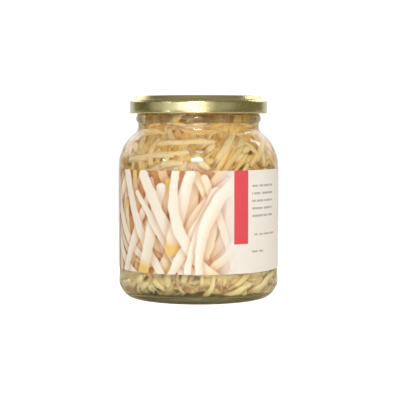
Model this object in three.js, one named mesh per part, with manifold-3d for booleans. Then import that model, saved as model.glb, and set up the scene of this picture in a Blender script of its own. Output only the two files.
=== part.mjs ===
// A glass jar of bean sprouts in brine, closed by a gold twist-off lid, in millimetres.
// +Z is up, the middle of the paper label faces -Y, and the origin is the centre of the base.
import * as THREE from "three";
import { mergeVertices } from "three/addons/utils/BufferGeometryUtils.js";
import Module from "manifold-3d";

const wasm = await Module();
wasm.setup();

// Driving sizes of the jar
const BODY_RADIUS = 39.5;
const WALL = 2.4;
const HEEL_HEIGHT = 9;
const HEEL_WIDTH = 7;
const FOOT_INNER_RADIUS = 29.3;
const FOOT_OUTER_RADIUS = BODY_RADIUS - HEEL_WIDTH;
const SHOULDER_Z = 66;
const SHOULDER_RADIUS = 19;
const NECK_RADIUS = 30.1;
const NECK_FILLET = 4;
const FINISH_RADIUS = 30.4;
const RIM_Z = 98.2;
const ROUND_SEGMENTS = 40;

// The floor of the cavity is slightly domed.
const FLOOR_EDGE_Z = 4.2;
const FLOOR_DOME = 1;
const INNER_HEEL_WIDTH = 5.5;
const INNER_HEEL_HEIGHT = 6;

// Twist-off closure: four glass ramps, and four lugs on the lid that hook under them
const LUGS = 4;
const LUG_AZIMUTH = 20;
const LUG_HALF_ANGLE = 7.5;
const LUG_INNER_RADIUS = 31.4;
const LUG_Z = [91.6, 92.9];
const LID_TURN = 60;
const LID_RISE = 1.6;
const THREAD_OUTER_RADIUS = 32.4;
const THREAD_HEIGHT = 1.3;
const THREAD_GAP = 0.15;
const THREAD_SPAN = [-10, 48];
const LID_SKIRT_RADIUS = 34.1;
const LID_SHEET = 0.5;
const LID_TOP_Z = 100.1;
const LID_PANEL_Z = 99.2;

// Paper label, with a narrow strip of bare glass between its two ends
const LABEL_Z = [15.1, 64.3];
const LABEL_PAPER = 0.3;
const LABEL_GAP = 0.1;
const LABEL_START = -75;
const LABEL_SWEEP = 356.25;
const LABEL_STEPS = 95;

// Brine: a core inside the ring of sprouts, and a slug of clear liquid above them
const BRINE_DEPTH = 8.8;
const BRINE_FOOT_Z = 9.4;
const BRINE_SLUG_Z = 86.5;
const BRINE_TOP_Z = 95;
const BRINE_CLEARANCE = 0.4;

// Sprouts lie flat against the wall, side by side in an outer layer, and crossed in an inner one.
const SEED = 20240611;
const STEM_HALF_WIDTH = 2.1;
const STEM_HALF_THICKNESS = 1.6;
const STEM_SIDES = 5;
const STEM_STEPS = 6;
const LEAF_FACETS = [5, 4];
const HEAD_HALF_LENGTH = 3.9;
const HEAD_HALF_WIDTH = 2.2;
const HEAD_REACH = 2;
const HEAD_SPREAD = 1.7;
const HEAD_SPLAY = 0.3;
const HEAD_ROOM_REACHES = [0, 2, 4];
const HEADED_SHARE = 0.55;
const STEM_BEND = 0.055;
const FLOOR_STEM_BEND = 0.08;
const SIDE_CLEARANCE = 0.35;
const GLASS_CLEARANCE = 0.25;
const OUTER_DEPTH = 2.1;
const INNER_DEPTH = 6.1;
const OUTER_SPROUTS = 46;
const FLOOR_SPROUTS = 8;
const TANGLE_ROWS = [0.27, 0.7];
const TANGLE_ROW_STEMS = 12;
const TANGLE_STEM = 46;
const TANGLE_LEAN = 52;
const TANGLE_SPREAD = { azimuth: 0.5, up: 5, heading: 0.5, bend: 0.03, depth: 0.3, length: 8 };
const PLACING_TRIES = 9000;
const ROOM_STEPS = 24;
const LONGEST_STEM = 46;
const SHORTEST_STEM = 15;
const LAYER_SPAN = [2.6, 76.5];
const HIGHEST_SPROUT_Z = 83;
const FLOOR_LAYER_RADIUS = 28.5;

const WELD_DISTANCE = 1e-4;

const COLOURS = {
  glass: 0xdfe6da,
  gold: 0xb8a468,
  liner: 0xe9e2cf,
  paper: 0xf3e6d2,
  brine: 0xb98b3a,
  sprout: 0xe2cfa0,
  tangle: 0xcdb27a,
};

const degrees = THREE.MathUtils.degToRad;
const point = (r, z) => new THREE.Vector2(r, z);

// Points on an ellipse in the profile plane, angles in degrees from +r towards +z
function arc(r, z, radiusR, radiusZ, from, to, steps) {
  return Array.from({ length: steps + 1 }, (_, i) => {
    const a = degrees(from + ((to - from) * i) / steps);
    return point(r + radiusR * Math.cos(a), z + radiusZ * Math.sin(a));
  });
}

// The profile turned about Z: azimuth 0 is -Y, and it grows towards +X.
function turned(profile) {
  return new THREE.LatheGeometry(profile, ROUND_SEGMENTS).rotateX(Math.PI / 2);
}

function toSolid(geometry) {
  const bare = geometry.clone().deleteAttribute("normal").deleteAttribute("uv");
  const merged = mergeVertices(bare, WELD_DISTANCE);
  return new wasm.Manifold(
    new wasm.Mesh({
      numProp: 3,
      vertProperties: new Float32Array(merged.attributes.position.array),
      triVerts: new Uint32Array(merged.index.array),
    }),
  );
}

function toGeometry(solid) {
  const mesh = solid.getMesh();
  return new THREE.BufferGeometry()
    .setAttribute("position", new THREE.BufferAttribute(new Float32Array(mesh.vertProperties), 3))
    .setIndex(new THREE.BufferAttribute(new Uint32Array(mesh.triVerts), 1));
}

function joined(geometries) {
  return toGeometry(geometries.map(toSolid).reduce((whole, piece) => whole.add(piece)));
}

// A box bent round Z: its length becomes the azimuth from start to end, and it climbs with the azimuth.
function bentBar({ start, end, radii, heights, climb = 0, steps }) {
  const bar = new THREE.BoxGeometry(1, 1, 1, steps, 1, 1);
  const at = bar.attributes.position;
  for (let i = 0; i < at.count; i++) {
    const along = at.getX(i) + 0.5;
    const azimuth = degrees(start + (end - start) * along);
    const radius = at.getY(i) < 0 ? radii[1] : radii[0];
    const height = (at.getZ(i) < 0 ? heights[0] : heights[1]) + climb * along;
    at.setXYZ(i, radius * Math.sin(azimuth), -radius * Math.cos(azimuth), height);
  }
  return bar;
}

// Outline of the shoulder and neck, shared by the outer and the inner wall
const shoulderCentre = point(BODY_RADIUS - SHOULDER_RADIUS, SHOULDER_Z);
const filletCentreR = NECK_RADIUS + NECK_FILLET;
const filletCentre = point(
  filletCentreR,
  SHOULDER_Z + Math.sqrt((SHOULDER_RADIUS + NECK_FILLET) ** 2 - (filletCentreR - shoulderCentre.x) ** 2),
);
const SHOULDER_ANGLE = Math.atan2(filletCentre.y - shoulderCentre.y, filletCentre.x - shoulderCentre.x);
const shoulderDegrees = THREE.MathUtils.radToDeg(SHOULDER_ANGLE);

function shoulderAndNeck(inset, steps) {
  const shoulder = SHOULDER_RADIUS - inset;
  const fillet = NECK_FILLET + inset;
  return [
    ...arc(shoulderCentre.x, shoulderCentre.y, shoulder, shoulder, 0, shoulderDegrees, steps),
    ...arc(filletCentre.x, filletCentre.y, fillet, fillet, 180 + shoulderDegrees, 180, steps - 1).slice(1),
  ];
}

const cavityRadius = BODY_RADIUS - WALL;
const cavityHeelZ = FLOOR_EDGE_Z + INNER_HEEL_HEIGHT;
const floorRadius = cavityRadius - INNER_HEEL_WIDTH;
const floorZ = (r) => FLOOR_EDGE_Z + FLOOR_DOME * (1 - (r / floorRadius) ** 2);

// Glass: the domed base with its foot ring, body, shoulder, neck with the bead under the lid, and rim
function glassProfile() {
  const foot = [point(0, 2.6), point(18, 2.2), point(27.4, 0.9), point(FOOT_INNER_RADIUS, 0)];
  const heel = arc(FOOT_OUTER_RADIUS, HEEL_HEIGHT, HEEL_WIDTH, HEEL_HEIGHT, -90, 0, 5);
  const beadFoot = [point(NECK_RADIUS, 87.2), point(30.8, 87.8)];
  const bead = [...beadFoot, point(31, 88.6), point(31, 89.5), point(30.6, 90.4)];
  const finish = [point(FINISH_RADIUS, 90.8), point(FINISH_RADIUS, 96.9)];
  const rim = [point(30.1, 97.7), point(29.4, RIM_Z), point(28.4, RIM_Z), point(27.7, 97.6)];
  const inside = shoulderAndNeck(WALL, 4).reverse();
  const innerHeel = arc(floorRadius, cavityHeelZ, INNER_HEEL_WIDTH, INNER_HEEL_HEIGHT, 0, -90, 3);
  const floor = [point(20, floorZ(20)), point(0, floorZ(0))];
  const outside = [...foot, ...heel, ...shoulderAndNeck(0, 5), ...bead, ...finish];
  return [...outside, ...rim, ...inside, ...innerHeel, ...floor];
}

function threadRamp(turn) {
  const perDegree = LID_RISE / LID_TURN;
  const low = LUG_Z[1] + THREAD_GAP + perDegree * (THREAD_SPAN[0] + LUG_HALF_ANGLE);
  return bentBar({
    start: LUG_AZIMUTH + turn + THREAD_SPAN[0],
    end: LUG_AZIMUTH + turn + THREAD_SPAN[1],
    radii: [FINISH_RADIUS - 0.8, THREAD_OUTER_RADIUS],
    heights: [low, low + THREAD_HEIGHT],
    climb: perDegree * (THREAD_SPAN[1] - THREAD_SPAN[0]),
    steps: 8,
  });
}

const quarterTurns = Array.from({ length: LUGS }, (_, i) => (360 / LUGS) * i);

function glassJar() {
  return joined([turned(glassProfile()), ...quarterTurns.map(threadRamp)]);
}

// Lid: pressed sheet with a sunk panel, a raised ring over the rim, a skirt and a curl at its foot
function lidProfile() {
  const panel = [point(0, 98.7), point(9, 98.7), point(11.5, LID_PANEL_Z), point(26.1, LID_PANEL_Z)];
  const ringTop = [point(27.9, LID_TOP_Z), point(29.9, LID_TOP_Z)];
  const ring = [point(26.9, 99.8), ...ringTop, point(31, 99.6), point(31.9, 98.4)];
  const shoulder = [point(33.1, 98.15), point(33.85, 97.5), point(LID_SKIRT_RADIUS, 96.6)];
  const curl = arc(33.4, 92, 0.7, 0.7, 0, -215, 5);
  const skirtInner = LID_SKIRT_RADIUS - LID_SHEET;
  const skirtInside = [point(skirtInner, 92.9), point(skirtInner, 96.6)];
  const channelOuter = [point(32.9, 97.65), point(31.4, 97.9), point(30.9, 99)];
  const channel = [...channelOuter, point(29.8, 99.6), point(28, 99.6), point(27.3, 99.35)];
  const under = [point(26.4, 98.7), point(11.7, 98.7), point(9.2, 98.2), point(0, 98.2)];
  return [...panel, ...ring, ...shoulder, ...curl, ...skirtInside, ...channel, ...under].reverse();
}

function lidLug(turn) {
  return bentBar({
    start: LUG_AZIMUTH + turn - LUG_HALF_ANGLE,
    end: LUG_AZIMUTH + turn + LUG_HALF_ANGLE,
    radii: [LUG_INNER_RADIUS, LID_SKIRT_RADIUS - LID_SHEET / 2],
    heights: LUG_Z,
    steps: 2,
  });
}

function twistLid() {
  return joined([turned(lidProfile()), ...quarterTurns.map(lidLug)]);
}

// Sealing ring in the lid's channel, which the rim of the glass meets
function lidLiner() {
  const foot = [point(27.6, 98.35), point(30.4, 98.35)];
  const top = [point(30.35, 98.95), point(29.7, 99.4), point(28.2, 99.4), point(27.7, 99.05)];
  return turned([...foot, ...top, foot[0].clone()]);
}

function paperLabel() {
  const inner = BODY_RADIUS + LABEL_GAP;
  return bentBar({
    start: LABEL_START,
    end: LABEL_START + LABEL_SWEEP,
    radii: [inner, inner + LABEL_PAPER],
    heights: LABEL_Z,
    steps: LABEL_STEPS,
  });
}

function brineBody() {
  const neckCavity = NECK_RADIUS - WALL;
  const side = [
    point(cavityRadius - BRINE_DEPTH, BRINE_FOOT_Z),
    ...shoulderAndNeck(WALL + BRINE_DEPTH, 3),
    point(neckCavity - BRINE_DEPTH, BRINE_SLUG_Z),
  ];
  const slugRadius = neckCavity - BRINE_CLEARANCE;
  const slug = [point(slugRadius, BRINE_SLUG_Z), point(slugRadius, BRINE_TOP_Z), point(0, BRINE_TOP_Z)];
  return turned([point(0, BRINE_FOOT_Z), ...side, ...slug]);
}

// A seeded draw from 0 to 1 (mulberry32)
function seeded(seed) {
  let state = seed >>> 0;
  return () => {
    state = (state + 0x6d2b79f5) >>> 0;
    let t = Math.imul(state ^ (state >>> 15), state | 1);
    t = (t + Math.imul(t ^ (t >>> 7), t | 61)) ^ t;
    return ((t ^ (t >>> 14)) >>> 0) / 4294967296;
  };
}

// The cavity wall by its length upwards from the inner heel: radius, height and the direction into the cavity
const straightLength = SHOULDER_Z - cavityHeelZ;
const shoulderLength = (SHOULDER_RADIUS - WALL) * SHOULDER_ANGLE;

function wallAt(length) {
  if (length < straightLength) {
    return { r: cavityRadius, z: cavityHeelZ + length, inR: -1, inZ: 0 };
  }
  if (length < straightLength + shoulderLength) {
    const radius = SHOULDER_RADIUS - WALL;
    const a = (length - straightLength) / radius;
    const [c, s] = [Math.cos(a), Math.sin(a)];
    return { r: shoulderCentre.x + radius * c, z: shoulderCentre.y + radius * s, inR: -c, inZ: -s };
  }
  const radius = NECK_FILLET + WALL;
  const a = Math.PI + SHOULDER_ANGLE - (length - straightLength - shoulderLength) / radius;
  const [c, s] = [Math.cos(a), Math.sin(a)];
  return { r: filletCentre.x + radius * c, z: filletCentre.y + radius * s, inR: c, inZ: s };
}

// How far a place lies from the cavity wall
const filletStartZ = shoulderCentre.y + (SHOULDER_RADIUS - WALL) * Math.sin(SHOULDER_ANGLE);

function wallGap({ x, y, z }) {
  const r = Math.hypot(x, y);
  const shoulderReach = Math.hypot(r - shoulderCentre.x, z - shoulderCentre.y);
  if (z < shoulderCentre.y) return cavityRadius - r;
  if (z < filletStartZ) return SHOULDER_RADIUS - WALL - shoulderReach;
  return Math.hypot(r - filletCentre.x, z - filletCentre.y) - NECK_FILLET - WALL;
}

// Where a stem's line runs: each step gives its centre and the direction away from the glass.
function wallLine(sprout, steps) {
  const half = steps / 2;
  const line = new Array(steps + 1);
  for (const way of [-1, 1]) {
    const stride = (way * sprout.length) / steps;
    let { azimuth, up } = sprout;
    for (let i = 0; i <= half; i++) {
      const wall = wallAt(up);
      const r = wall.r + wall.inR * sprout.depth;
      const [s, c] = [Math.sin(azimuth), Math.cos(azimuth)];
      line[half + way * i] = {
        at: new THREE.Vector3(r * s, -r * c, wall.z + wall.inZ * sprout.depth),
        away: new THREE.Vector3(wall.inR * s, -wall.inR * c, wall.inZ),
        up,
      };
      const heading = sprout.heading + sprout.bend * stride * (i + 0.5);
      up += Math.sin(heading) * stride;
      azimuth += (Math.cos(heading) * stride) / r;
    }
  }
  return line;
}

function floorLine(sprout, steps) {
  const half = steps / 2;
  const line = new Array(steps + 1);
  for (const way of [-1, 1]) {
    const stride = (way * sprout.length) / steps;
    let { x, y } = sprout;
    for (let i = 0; i <= half; i++) {
      line[half + way * i] = {
        at: new THREE.Vector3(x, y, floorZ(Math.hypot(x, y)) + sprout.depth),
        away: new THREE.Vector3(0, 0, 1),
      };
      const heading = sprout.heading + sprout.bend * stride * (i + 0.5);
      x += Math.cos(heading) * stride;
      y += Math.sin(heading) * stride;
    }
  }
  return line;
}

// Half width of a stem at t, from 0 at the thin root to 1 under the seed leaves, as a share of the full one
function stemShare(t) {
  const root = 0.3 + 0.7 * Math.min(1, t / 0.35);
  const neck = 1 - 0.28 * Math.max(0, (t - 0.75) / 0.25);
  return root * neck;
}

const tangentAt = (line, i) =>
  line[Math.min(i + 1, line.length - 1)].at.clone().sub(line[Math.max(i - 1, 0)].at).normalize();

// A closed tube with a few flat sides, wider along the glass than across, that follows the line
function stemAlong(line) {
  const tube = new THREE.CylinderGeometry(1, 1, 1, STEM_SIDES, STEM_STEPS);
  const at = tube.attributes.position;
  for (let i = 0; i < at.count; i++) {
    const step = Math.round((at.getY(i) + 0.5) * STEM_STEPS);
    const share = stemShare(step / STEM_STEPS);
    const { at: centre, away } = line[step];
    const tangent = tangentAt(line, step);
    const side = tangent.clone().cross(away).normalize();
    const out = side.clone().cross(tangent);
    const place = centre
      .clone()
      .addScaledVector(side, at.getX(i) * STEM_HALF_WIDTH * share)
      .addScaledVector(out, at.getZ(i) * STEM_HALF_THICKNESS * share);
    at.setXYZ(i, place.x, place.y, place.z);
  }
  return tube;
}

// Two seed leaves side by side at the end of the line, a little apart like an opened bean
function seedLeaves(line) {
  const last = line.length - 1;
  const { at: end, away } = line[last];
  const tangent = tangentAt(line, last);
  const side = tangent.clone().cross(away).normalize();
  const out = side.clone().cross(tangent).normalize();
  return [-1, 1].map((way) => {
    const ball = new THREE.SphereGeometry(1, ...LEAF_FACETS);
    const leaf = ball.scale(HEAD_HALF_WIDTH, HEAD_HALF_LENGTH, STEM_HALF_THICKNESS);
    const splay = tangent.clone().addScaledVector(side, HEAD_SPLAY * way).normalize();
    const across = splay.clone().cross(out).normalize();
    const reach = end.clone().addScaledVector(tangent, HEAD_REACH);
    const centre = reach.addScaledVector(side, HEAD_SPREAD * way);
    const basis = new THREE.Matrix4().makeBasis(across, splay, across.clone().cross(splay));
    return leaf.applyMatrix4(basis.setPosition(centre));
  });
}

// Balls along a sprout that say how much room it takes in its layer
function roomOf(line, headed) {
  const last = line.length - 1;
  const balls = line.map(({ at }, i) => ({ at, radius: STEM_HALF_WIDTH * stemShare(i / last) }));
  if (headed) {
    const tangent = tangentAt(line, last);
    for (const reach of HEAD_ROOM_REACHES) {
      const at = line[last].at.clone().addScaledVector(tangent, reach);
      balls.push({ at, radius: HEAD_SPREAD + HEAD_HALF_WIDTH - 0.15 * reach, leaf: true });
    }
  }
  return balls;
}

// The straight facets of a stem, and its seed leaves, must clear the curved wall.
function clearOfGlass(sprout, room) {
  const corners = wallLine(sprout, STEM_STEPS).map(({ at }) => at);
  const middles = corners.slice(1).map((at, i) => at.clone().lerp(corners[i], 0.5));
  const leaves = room.filter(({ leaf }) => leaf).map(({ at }) => at);
  return [...middles, ...leaves].every((at) => wallGap(at) > STEM_HALF_THICKNESS + GLASS_CLEARANCE);
}

const clearOf = (p) => (q) =>
  p.at.distanceToSquared(q.at) > (p.radius + q.radius + SIDE_CLEARANCE) ** 2;
const apart = (a, b) => a.every((p) => b.every(clearOf(p)));

// Draws sprouts that get shorter try by try, and keeps each that lies clear of those before it.
function placeLayer({ draw, lineOf, fits, wanted, random }) {
  const kept = [];
  for (let tried = 0; tried < PLACING_TRIES && kept.length < wanted; tried++) {
    const shrink = Math.sqrt(tried / PLACING_TRIES) * (0.6 + 0.4 * random());
    const length = LONGEST_STEM - (LONGEST_STEM - SHORTEST_STEM) * shrink;
    const sprout = { ...draw(random), length, headed: random() < HEADED_SHARE };
    const line = lineOf(sprout, ROOM_STEPS);
    const room = roomOf(line, sprout.headed);
    if (fits(sprout, line, room) && kept.every((other) => apart(room, other.room))) {
      kept.push({ sprout, room });
    }
  }
  return kept.map(({ sprout }) => sprout);
}

const drawOnWall = (depth) => (random) => ({
  azimuth: 2 * Math.PI * random(),
  up: LAYER_SPAN[0] + (LAYER_SPAN[1] - LAYER_SPAN[0]) * random(),
  heading: 2 * Math.PI * random(),
  bend: (random() - 0.5) * STEM_BEND,
  depth,
});

function outerSprouts() {
  return placeLayer({
    draw: drawOnWall(OUTER_DEPTH),
    lineOf: wallLine,
    fits: (sprout, line, room) =>
      line.every(({ up }) => up > LAYER_SPAN[0] && up < LAYER_SPAN[1]) &&
      room.every(({ at }) => at.z < HIGHEST_SPROUT_Z && at.z > cavityHeelZ + 2) &&
      clearOfGlass(sprout, room),
    wanted: OUTER_SPROUTS,
    random: seeded(SEED),
  });
}

function floorSprouts() {
  return placeLayer({
    draw: (random) => ({
      x: FLOOR_LAYER_RADIUS * (2 * random() - 1),
      y: FLOOR_LAYER_RADIUS * (2 * random() - 1),
      heading: 2 * Math.PI * random(),
      bend: (random() - 0.5) * FLOOR_STEM_BEND,
      depth: OUTER_DEPTH,
    }),
    lineOf: floorLine,
    fits: (sprout, line, room) =>
      room.every(({ at, radius }) => Math.hypot(at.x, at.y) + radius < FLOOR_LAYER_RADIUS + 2),
    wanted: FLOOR_SPROUTS,
    random: seeded(SEED + 1),
  });
}

function sproutGeometry(line, headed) {
  return joined([stemAlong(line), ...(headed ? seedLeaves(line) : [])]);
}

// Stems behind the outer layer that lean by turns to either side, so that each crosses its neighbours
function tangle() {
  const random = seeded(SEED + 2);
  const spread = (size) => TANGLE_SPREAD[size] * (random() - 0.5);
  const stems = TANGLE_ROWS.flatMap((share) =>
    Array.from({ length: TANGLE_ROW_STEMS }, (_, i) => ({
      azimuth: (2 * Math.PI * (i + share + spread("azimuth"))) / TANGLE_ROW_STEMS,
      up: THREE.MathUtils.lerp(...LAYER_SPAN, share) + spread("up"),
      heading: (i % 2 ? 1 : -1) * degrees(TANGLE_LEAN) + spread("heading"),
      bend: spread("bend"),
      depth: INNER_DEPTH + spread("depth"),
      length: TANGLE_STEM + spread("length"),
    })),
  );
  return joined(stems.map((stem) => stemAlong(wallLine(stem, STEM_STEPS))));
}

// Each sub-part is a named mesh with its own material.
const jar = new THREE.Group();

function addPart(name, geometry, look) {
  const mesh = new THREE.Mesh(geometry, new THREE.MeshStandardMaterial(look));
  mesh.name = name;
  jar.add(mesh);
}

const clear = { roughness: 0.05, transparent: true };

addPart("glass_jar", glassJar(), { ...clear, color: COLOURS.glass, opacity: 0.3 });
addPart("lid", twistLid(), { color: COLOURS.gold, roughness: 0.28, metalness: 1 });
addPart("lid_liner", lidLiner(), { color: COLOURS.liner, roughness: 0.6 });
addPart("label", paperLabel(), { color: COLOURS.paper, roughness: 0.45 });
addPart("brine", brineBody(), { ...clear, color: COLOURS.brine, opacity: 0.45 });
addPart("sprout_tangle", tangle(), { color: COLOURS.tangle, roughness: 0.45 });

const numbered = (n) => String(n + 1).padStart(2, "0");
outerSprouts().forEach((sprout, i) => {
  const geometry = sproutGeometry(wallLine(sprout, STEM_STEPS), sprout.headed);
  addPart("sprout_" + numbered(i), geometry, { color: COLOURS.sprout, roughness: 0.4 });
});
floorSprouts().forEach((sprout, i) => {
  const geometry = sproutGeometry(floorLine(sprout, STEM_STEPS), sprout.headed);
  addPart("floor_sprout_" + numbered(i), geometry, { color: COLOURS.sprout, roughness: 0.4 });
});

export default jar;
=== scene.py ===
"""Looks of a jar of bean sprouts: clear glass, gold lid, printed paper label, amber brine and pale sprouts.

The frame and every object are in metres. Outlines and sprouts are worked out in millimetres, the solids' own
unit, and scaled when a mesh is made. Azimuth 0 is the front of the label (-Y), and it grows towards +X.
"""

import math

import bpy
import numpy as np
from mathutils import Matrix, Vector


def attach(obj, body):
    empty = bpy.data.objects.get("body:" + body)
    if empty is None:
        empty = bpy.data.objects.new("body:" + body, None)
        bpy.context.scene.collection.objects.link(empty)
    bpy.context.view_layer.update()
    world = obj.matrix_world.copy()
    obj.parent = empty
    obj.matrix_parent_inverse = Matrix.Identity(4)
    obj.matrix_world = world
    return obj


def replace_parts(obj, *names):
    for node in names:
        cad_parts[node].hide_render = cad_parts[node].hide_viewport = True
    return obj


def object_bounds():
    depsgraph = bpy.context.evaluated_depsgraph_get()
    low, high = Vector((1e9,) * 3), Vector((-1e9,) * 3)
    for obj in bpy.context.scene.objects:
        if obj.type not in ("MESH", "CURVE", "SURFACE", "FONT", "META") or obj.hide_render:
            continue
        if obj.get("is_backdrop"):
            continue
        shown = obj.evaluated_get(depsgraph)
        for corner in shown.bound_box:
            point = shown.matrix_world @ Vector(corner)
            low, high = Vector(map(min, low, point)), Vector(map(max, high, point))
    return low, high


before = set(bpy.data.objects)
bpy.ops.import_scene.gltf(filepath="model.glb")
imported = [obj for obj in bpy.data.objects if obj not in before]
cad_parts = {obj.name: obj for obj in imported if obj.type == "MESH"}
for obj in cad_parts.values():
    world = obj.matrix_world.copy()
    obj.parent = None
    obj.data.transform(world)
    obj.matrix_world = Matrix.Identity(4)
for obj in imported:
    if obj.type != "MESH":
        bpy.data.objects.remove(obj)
cad_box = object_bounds()

MM = 0.001

# Sizes that the solids have too
BODY_RADIUS = 39.5
WALL = 2.4
HEEL_HEIGHT = 9.0
HEEL_WIDTH = 7.0
FOOT_INNER_RADIUS = 29.3
FOOT_OUTER_RADIUS = BODY_RADIUS - HEEL_WIDTH
SHOULDER_Z = 66.0
SHOULDER_RADIUS = 19.0
NECK_RADIUS = 30.1
NECK_FILLET = 4.0
FINISH_RADIUS = 30.4
FLOOR_EDGE_Z = 4.2
FLOOR_DOME = 1.0
INNER_HEEL_WIDTH = 5.5
INNER_HEEL_HEIGHT = 6.0
BRINE_TOP_Z = 95.0

LUGS = 4
LUG_AZIMUTH = 20.0
LUG_HALF_ANGLE = 7.5
LUG_DEPTH = 1.3
LUG_TOP_Z = 92.9
LID_TURN = 60.0
LID_RISE = 1.6
THREAD_DEPTH = 2.0
THREAD_HEIGHT = 1.3
THREAD_GAP = 0.15
THREAD_SPAN = (-10.0, 48.0)

LABEL_Z = (15.1, 64.3)
LABEL_RADIUS = 39.6
LABEL_PAPER = 0.3
LABEL_START = -75.0
LABEL_SWEEP = 356.25

SEED = 20240611
STEM_HALF_WIDTH = 2.1
STEM_HALF_THICKNESS = 1.6
STEM_STEPS = 6
HEAD_HALF_WIDTH = 2.2
HEAD_REACH = 2.0
HEAD_SPREAD = 1.7
SIDE_CLEARANCE = 0.35
GLASS_CLEARANCE = 0.25
OUTER_DEPTH = 2.1
INNER_DEPTH = 6.1
OUTER_SPROUTS = 46
FLOOR_SPROUTS = 8
PLACING_TRIES = 9000
PLACING_STEPS = 24
HEADED_SHARE = 0.55
STEM_BEND = 0.055
FLOOR_STEM_BEND = 0.08
LONGEST_STEM = 46.0
SHORTEST_STEM = 15.0
LAYER_SPAN = (2.6, 76.5)
HIGHEST_SPROUT_Z = 83.0
FLOOR_LAYER_RADIUS = 28.5
TANGLE_ROWS = (0.27, 0.7)
TANGLE_ROW_STEMS = 12
TANGLE_STEM = 46.0

# The photograph: 400 pixels square, eye at lid height
PHOTO_SIZE = 400
EYE = (0.0, -671.5, 92.0)
FOCAL_PIXELS = 1345.0
HORIZON_ROW = 112.0
JAR_COLUMN = 198.5
SENSOR_MM = 36.0


# Node trees

def new_tree(owner):
    """The emptied node tree of a material, lamp or world"""
    owner.use_nodes = True
    owner.node_tree.nodes.clear()
    return Tree(owner.node_tree)


def new_material(name):
    material = bpy.data.materials.new(name)
    return material, new_tree(material)


class Tree:
    """Short calls for building a node tree"""

    def __init__(self, node_tree):
        self.tree = node_tree

    def node(self, kind, inputs=(), **settings):
        made = self.tree.nodes.new(kind)
        for key, value in settings.items():
            setattr(made, key, value)
        for key, value in dict(inputs).items():
            self.feed(made.inputs[key], value)
        return made

    def feed(self, socket, value):
        if isinstance(value, bpy.types.NodeSocket):
            self.tree.links.new(value, socket)
        else:
            socket.default_value = value

    def math(self, operation, *values, clamp=False):
        made = self.node("ShaderNodeMath", operation=operation, use_clamp=clamp)
        for socket, value in zip(made.inputs, values):
            self.feed(socket, value)
        return made.outputs[0]

    def times(self, first, *others):
        for other in others:
            first = self.math("MULTIPLY", first, other)
        return first

    def vector(self, operation, *values):
        made = self.node("ShaderNodeVectorMath", operation=operation)
        for socket, value in zip(made.inputs, values):
            self.feed(socket, value)
        return made.outputs["Value" if operation in ("DOT_PRODUCT", "LENGTH") else "Vector"]

    def scaled(self, vector, scale):
        made = self.node("ShaderNodeVectorMath", {0: vector}, operation="SCALE")
        self.feed(made.inputs["Scale"], scale)
        return made.outputs["Vector"]

    def step(self, value, low, high, to=(0.0, 1.0)):
        """Smooth step of value from low to high"""
        made = self.node("ShaderNodeMapRange", interpolation_type="SMOOTHSTEP")
        for socket, number in zip(made.inputs, (value, low, high, *to)):
            self.feed(socket, number)
        return made.outputs[0]

    def band(self, value, rise, fall):
        """1 between a smooth rise and a smooth fall, each given by its two ends"""
        return self.times(self.step(value, *rise), self.step(value, *fall, (1.0, 0.0)))

    def mix(self, share, a, b, blend="MIX"):
        made = self.node("ShaderNodeMix", data_type="RGBA", blend_type=blend)
        self.feed(made.inputs[0], share)
        self.feed(made.inputs[6], a)
        self.feed(made.inputs[7], b)
        return made.outputs[2]

    def noise(self, vector, scale, detail=2.0, output="Fac"):
        inputs = {"Vector": vector, "Scale": scale, "Detail": detail}
        return self.node("ShaderNodeTexNoise", inputs).outputs[output]

    def linear_ramp(self, value, stops):
        """Linear colours by value. stops: places and colours"""
        made = self.node("ShaderNodeValToRGB", {0: value})
        elements = made.color_ramp.elements
        while len(elements) < len(stops):
            elements.new(0.5)
        for element, (place, colour) in zip(elements, stops):
            element.position = place
            element.color = colour
        return made.outputs[0]

    def ramp(self, value, *stops):
        """Display colours by value"""
        return self.linear_ramp(value, [(place, rgba(colour)) for place, colour in stops])

    def bump(self, height, distance, strength=1.0):
        inputs = {"Height": height, "Distance": distance, "Strength": strength}
        return self.node("ShaderNodeBump", inputs).outputs[0]

    def attribute(self, name):
        return self.node("ShaderNodeAttribute", attribute_name=name).outputs["Fac"]

    def parts(self, vector):
        """The x, y and z of a vector"""
        return self.node("ShaderNodeSeparateXYZ", {0: vector}).outputs

    def joined(self, *values):
        return self.node("ShaderNodeCombineXYZ", enumerate(values)).outputs[0]

    def shader(self, inputs):
        return self.node("ShaderNodeBsdfPrincipled", inputs).outputs[0]

    def place(self):
        return self.node("ShaderNodeTexCoord").outputs["Object"]

    def uv(self):
        return self.node("ShaderNodeTexCoord").outputs["UV"]


def linear(channel):
    return channel / 12.92 if channel <= 0.04045 else ((channel + 0.055) / 1.055) ** 2.4


def rgba(colour):
    """A display colour, 0 to 255 a channel, as the linear colour that shaders take"""
    return (*(linear(c / 255) for c in colour), 1.0)


def surface(tree, shader, volume=None):
    output = tree.node("ShaderNodeOutputMaterial", {"Surface": shader})
    if volume is not None:
        tree.feed(output.inputs["Volume"], volume)


# Materials

GLASS_IOR = 1.5
BRINE_IOR = 1.33
GLASS_TINT = (0.955, 0.975, 0.935, 1.0)
THICK_TINT = (0.5, 0.56, 0.2, 1.0)
THICK_SPAN = (0.0012, 0.006)


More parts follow.
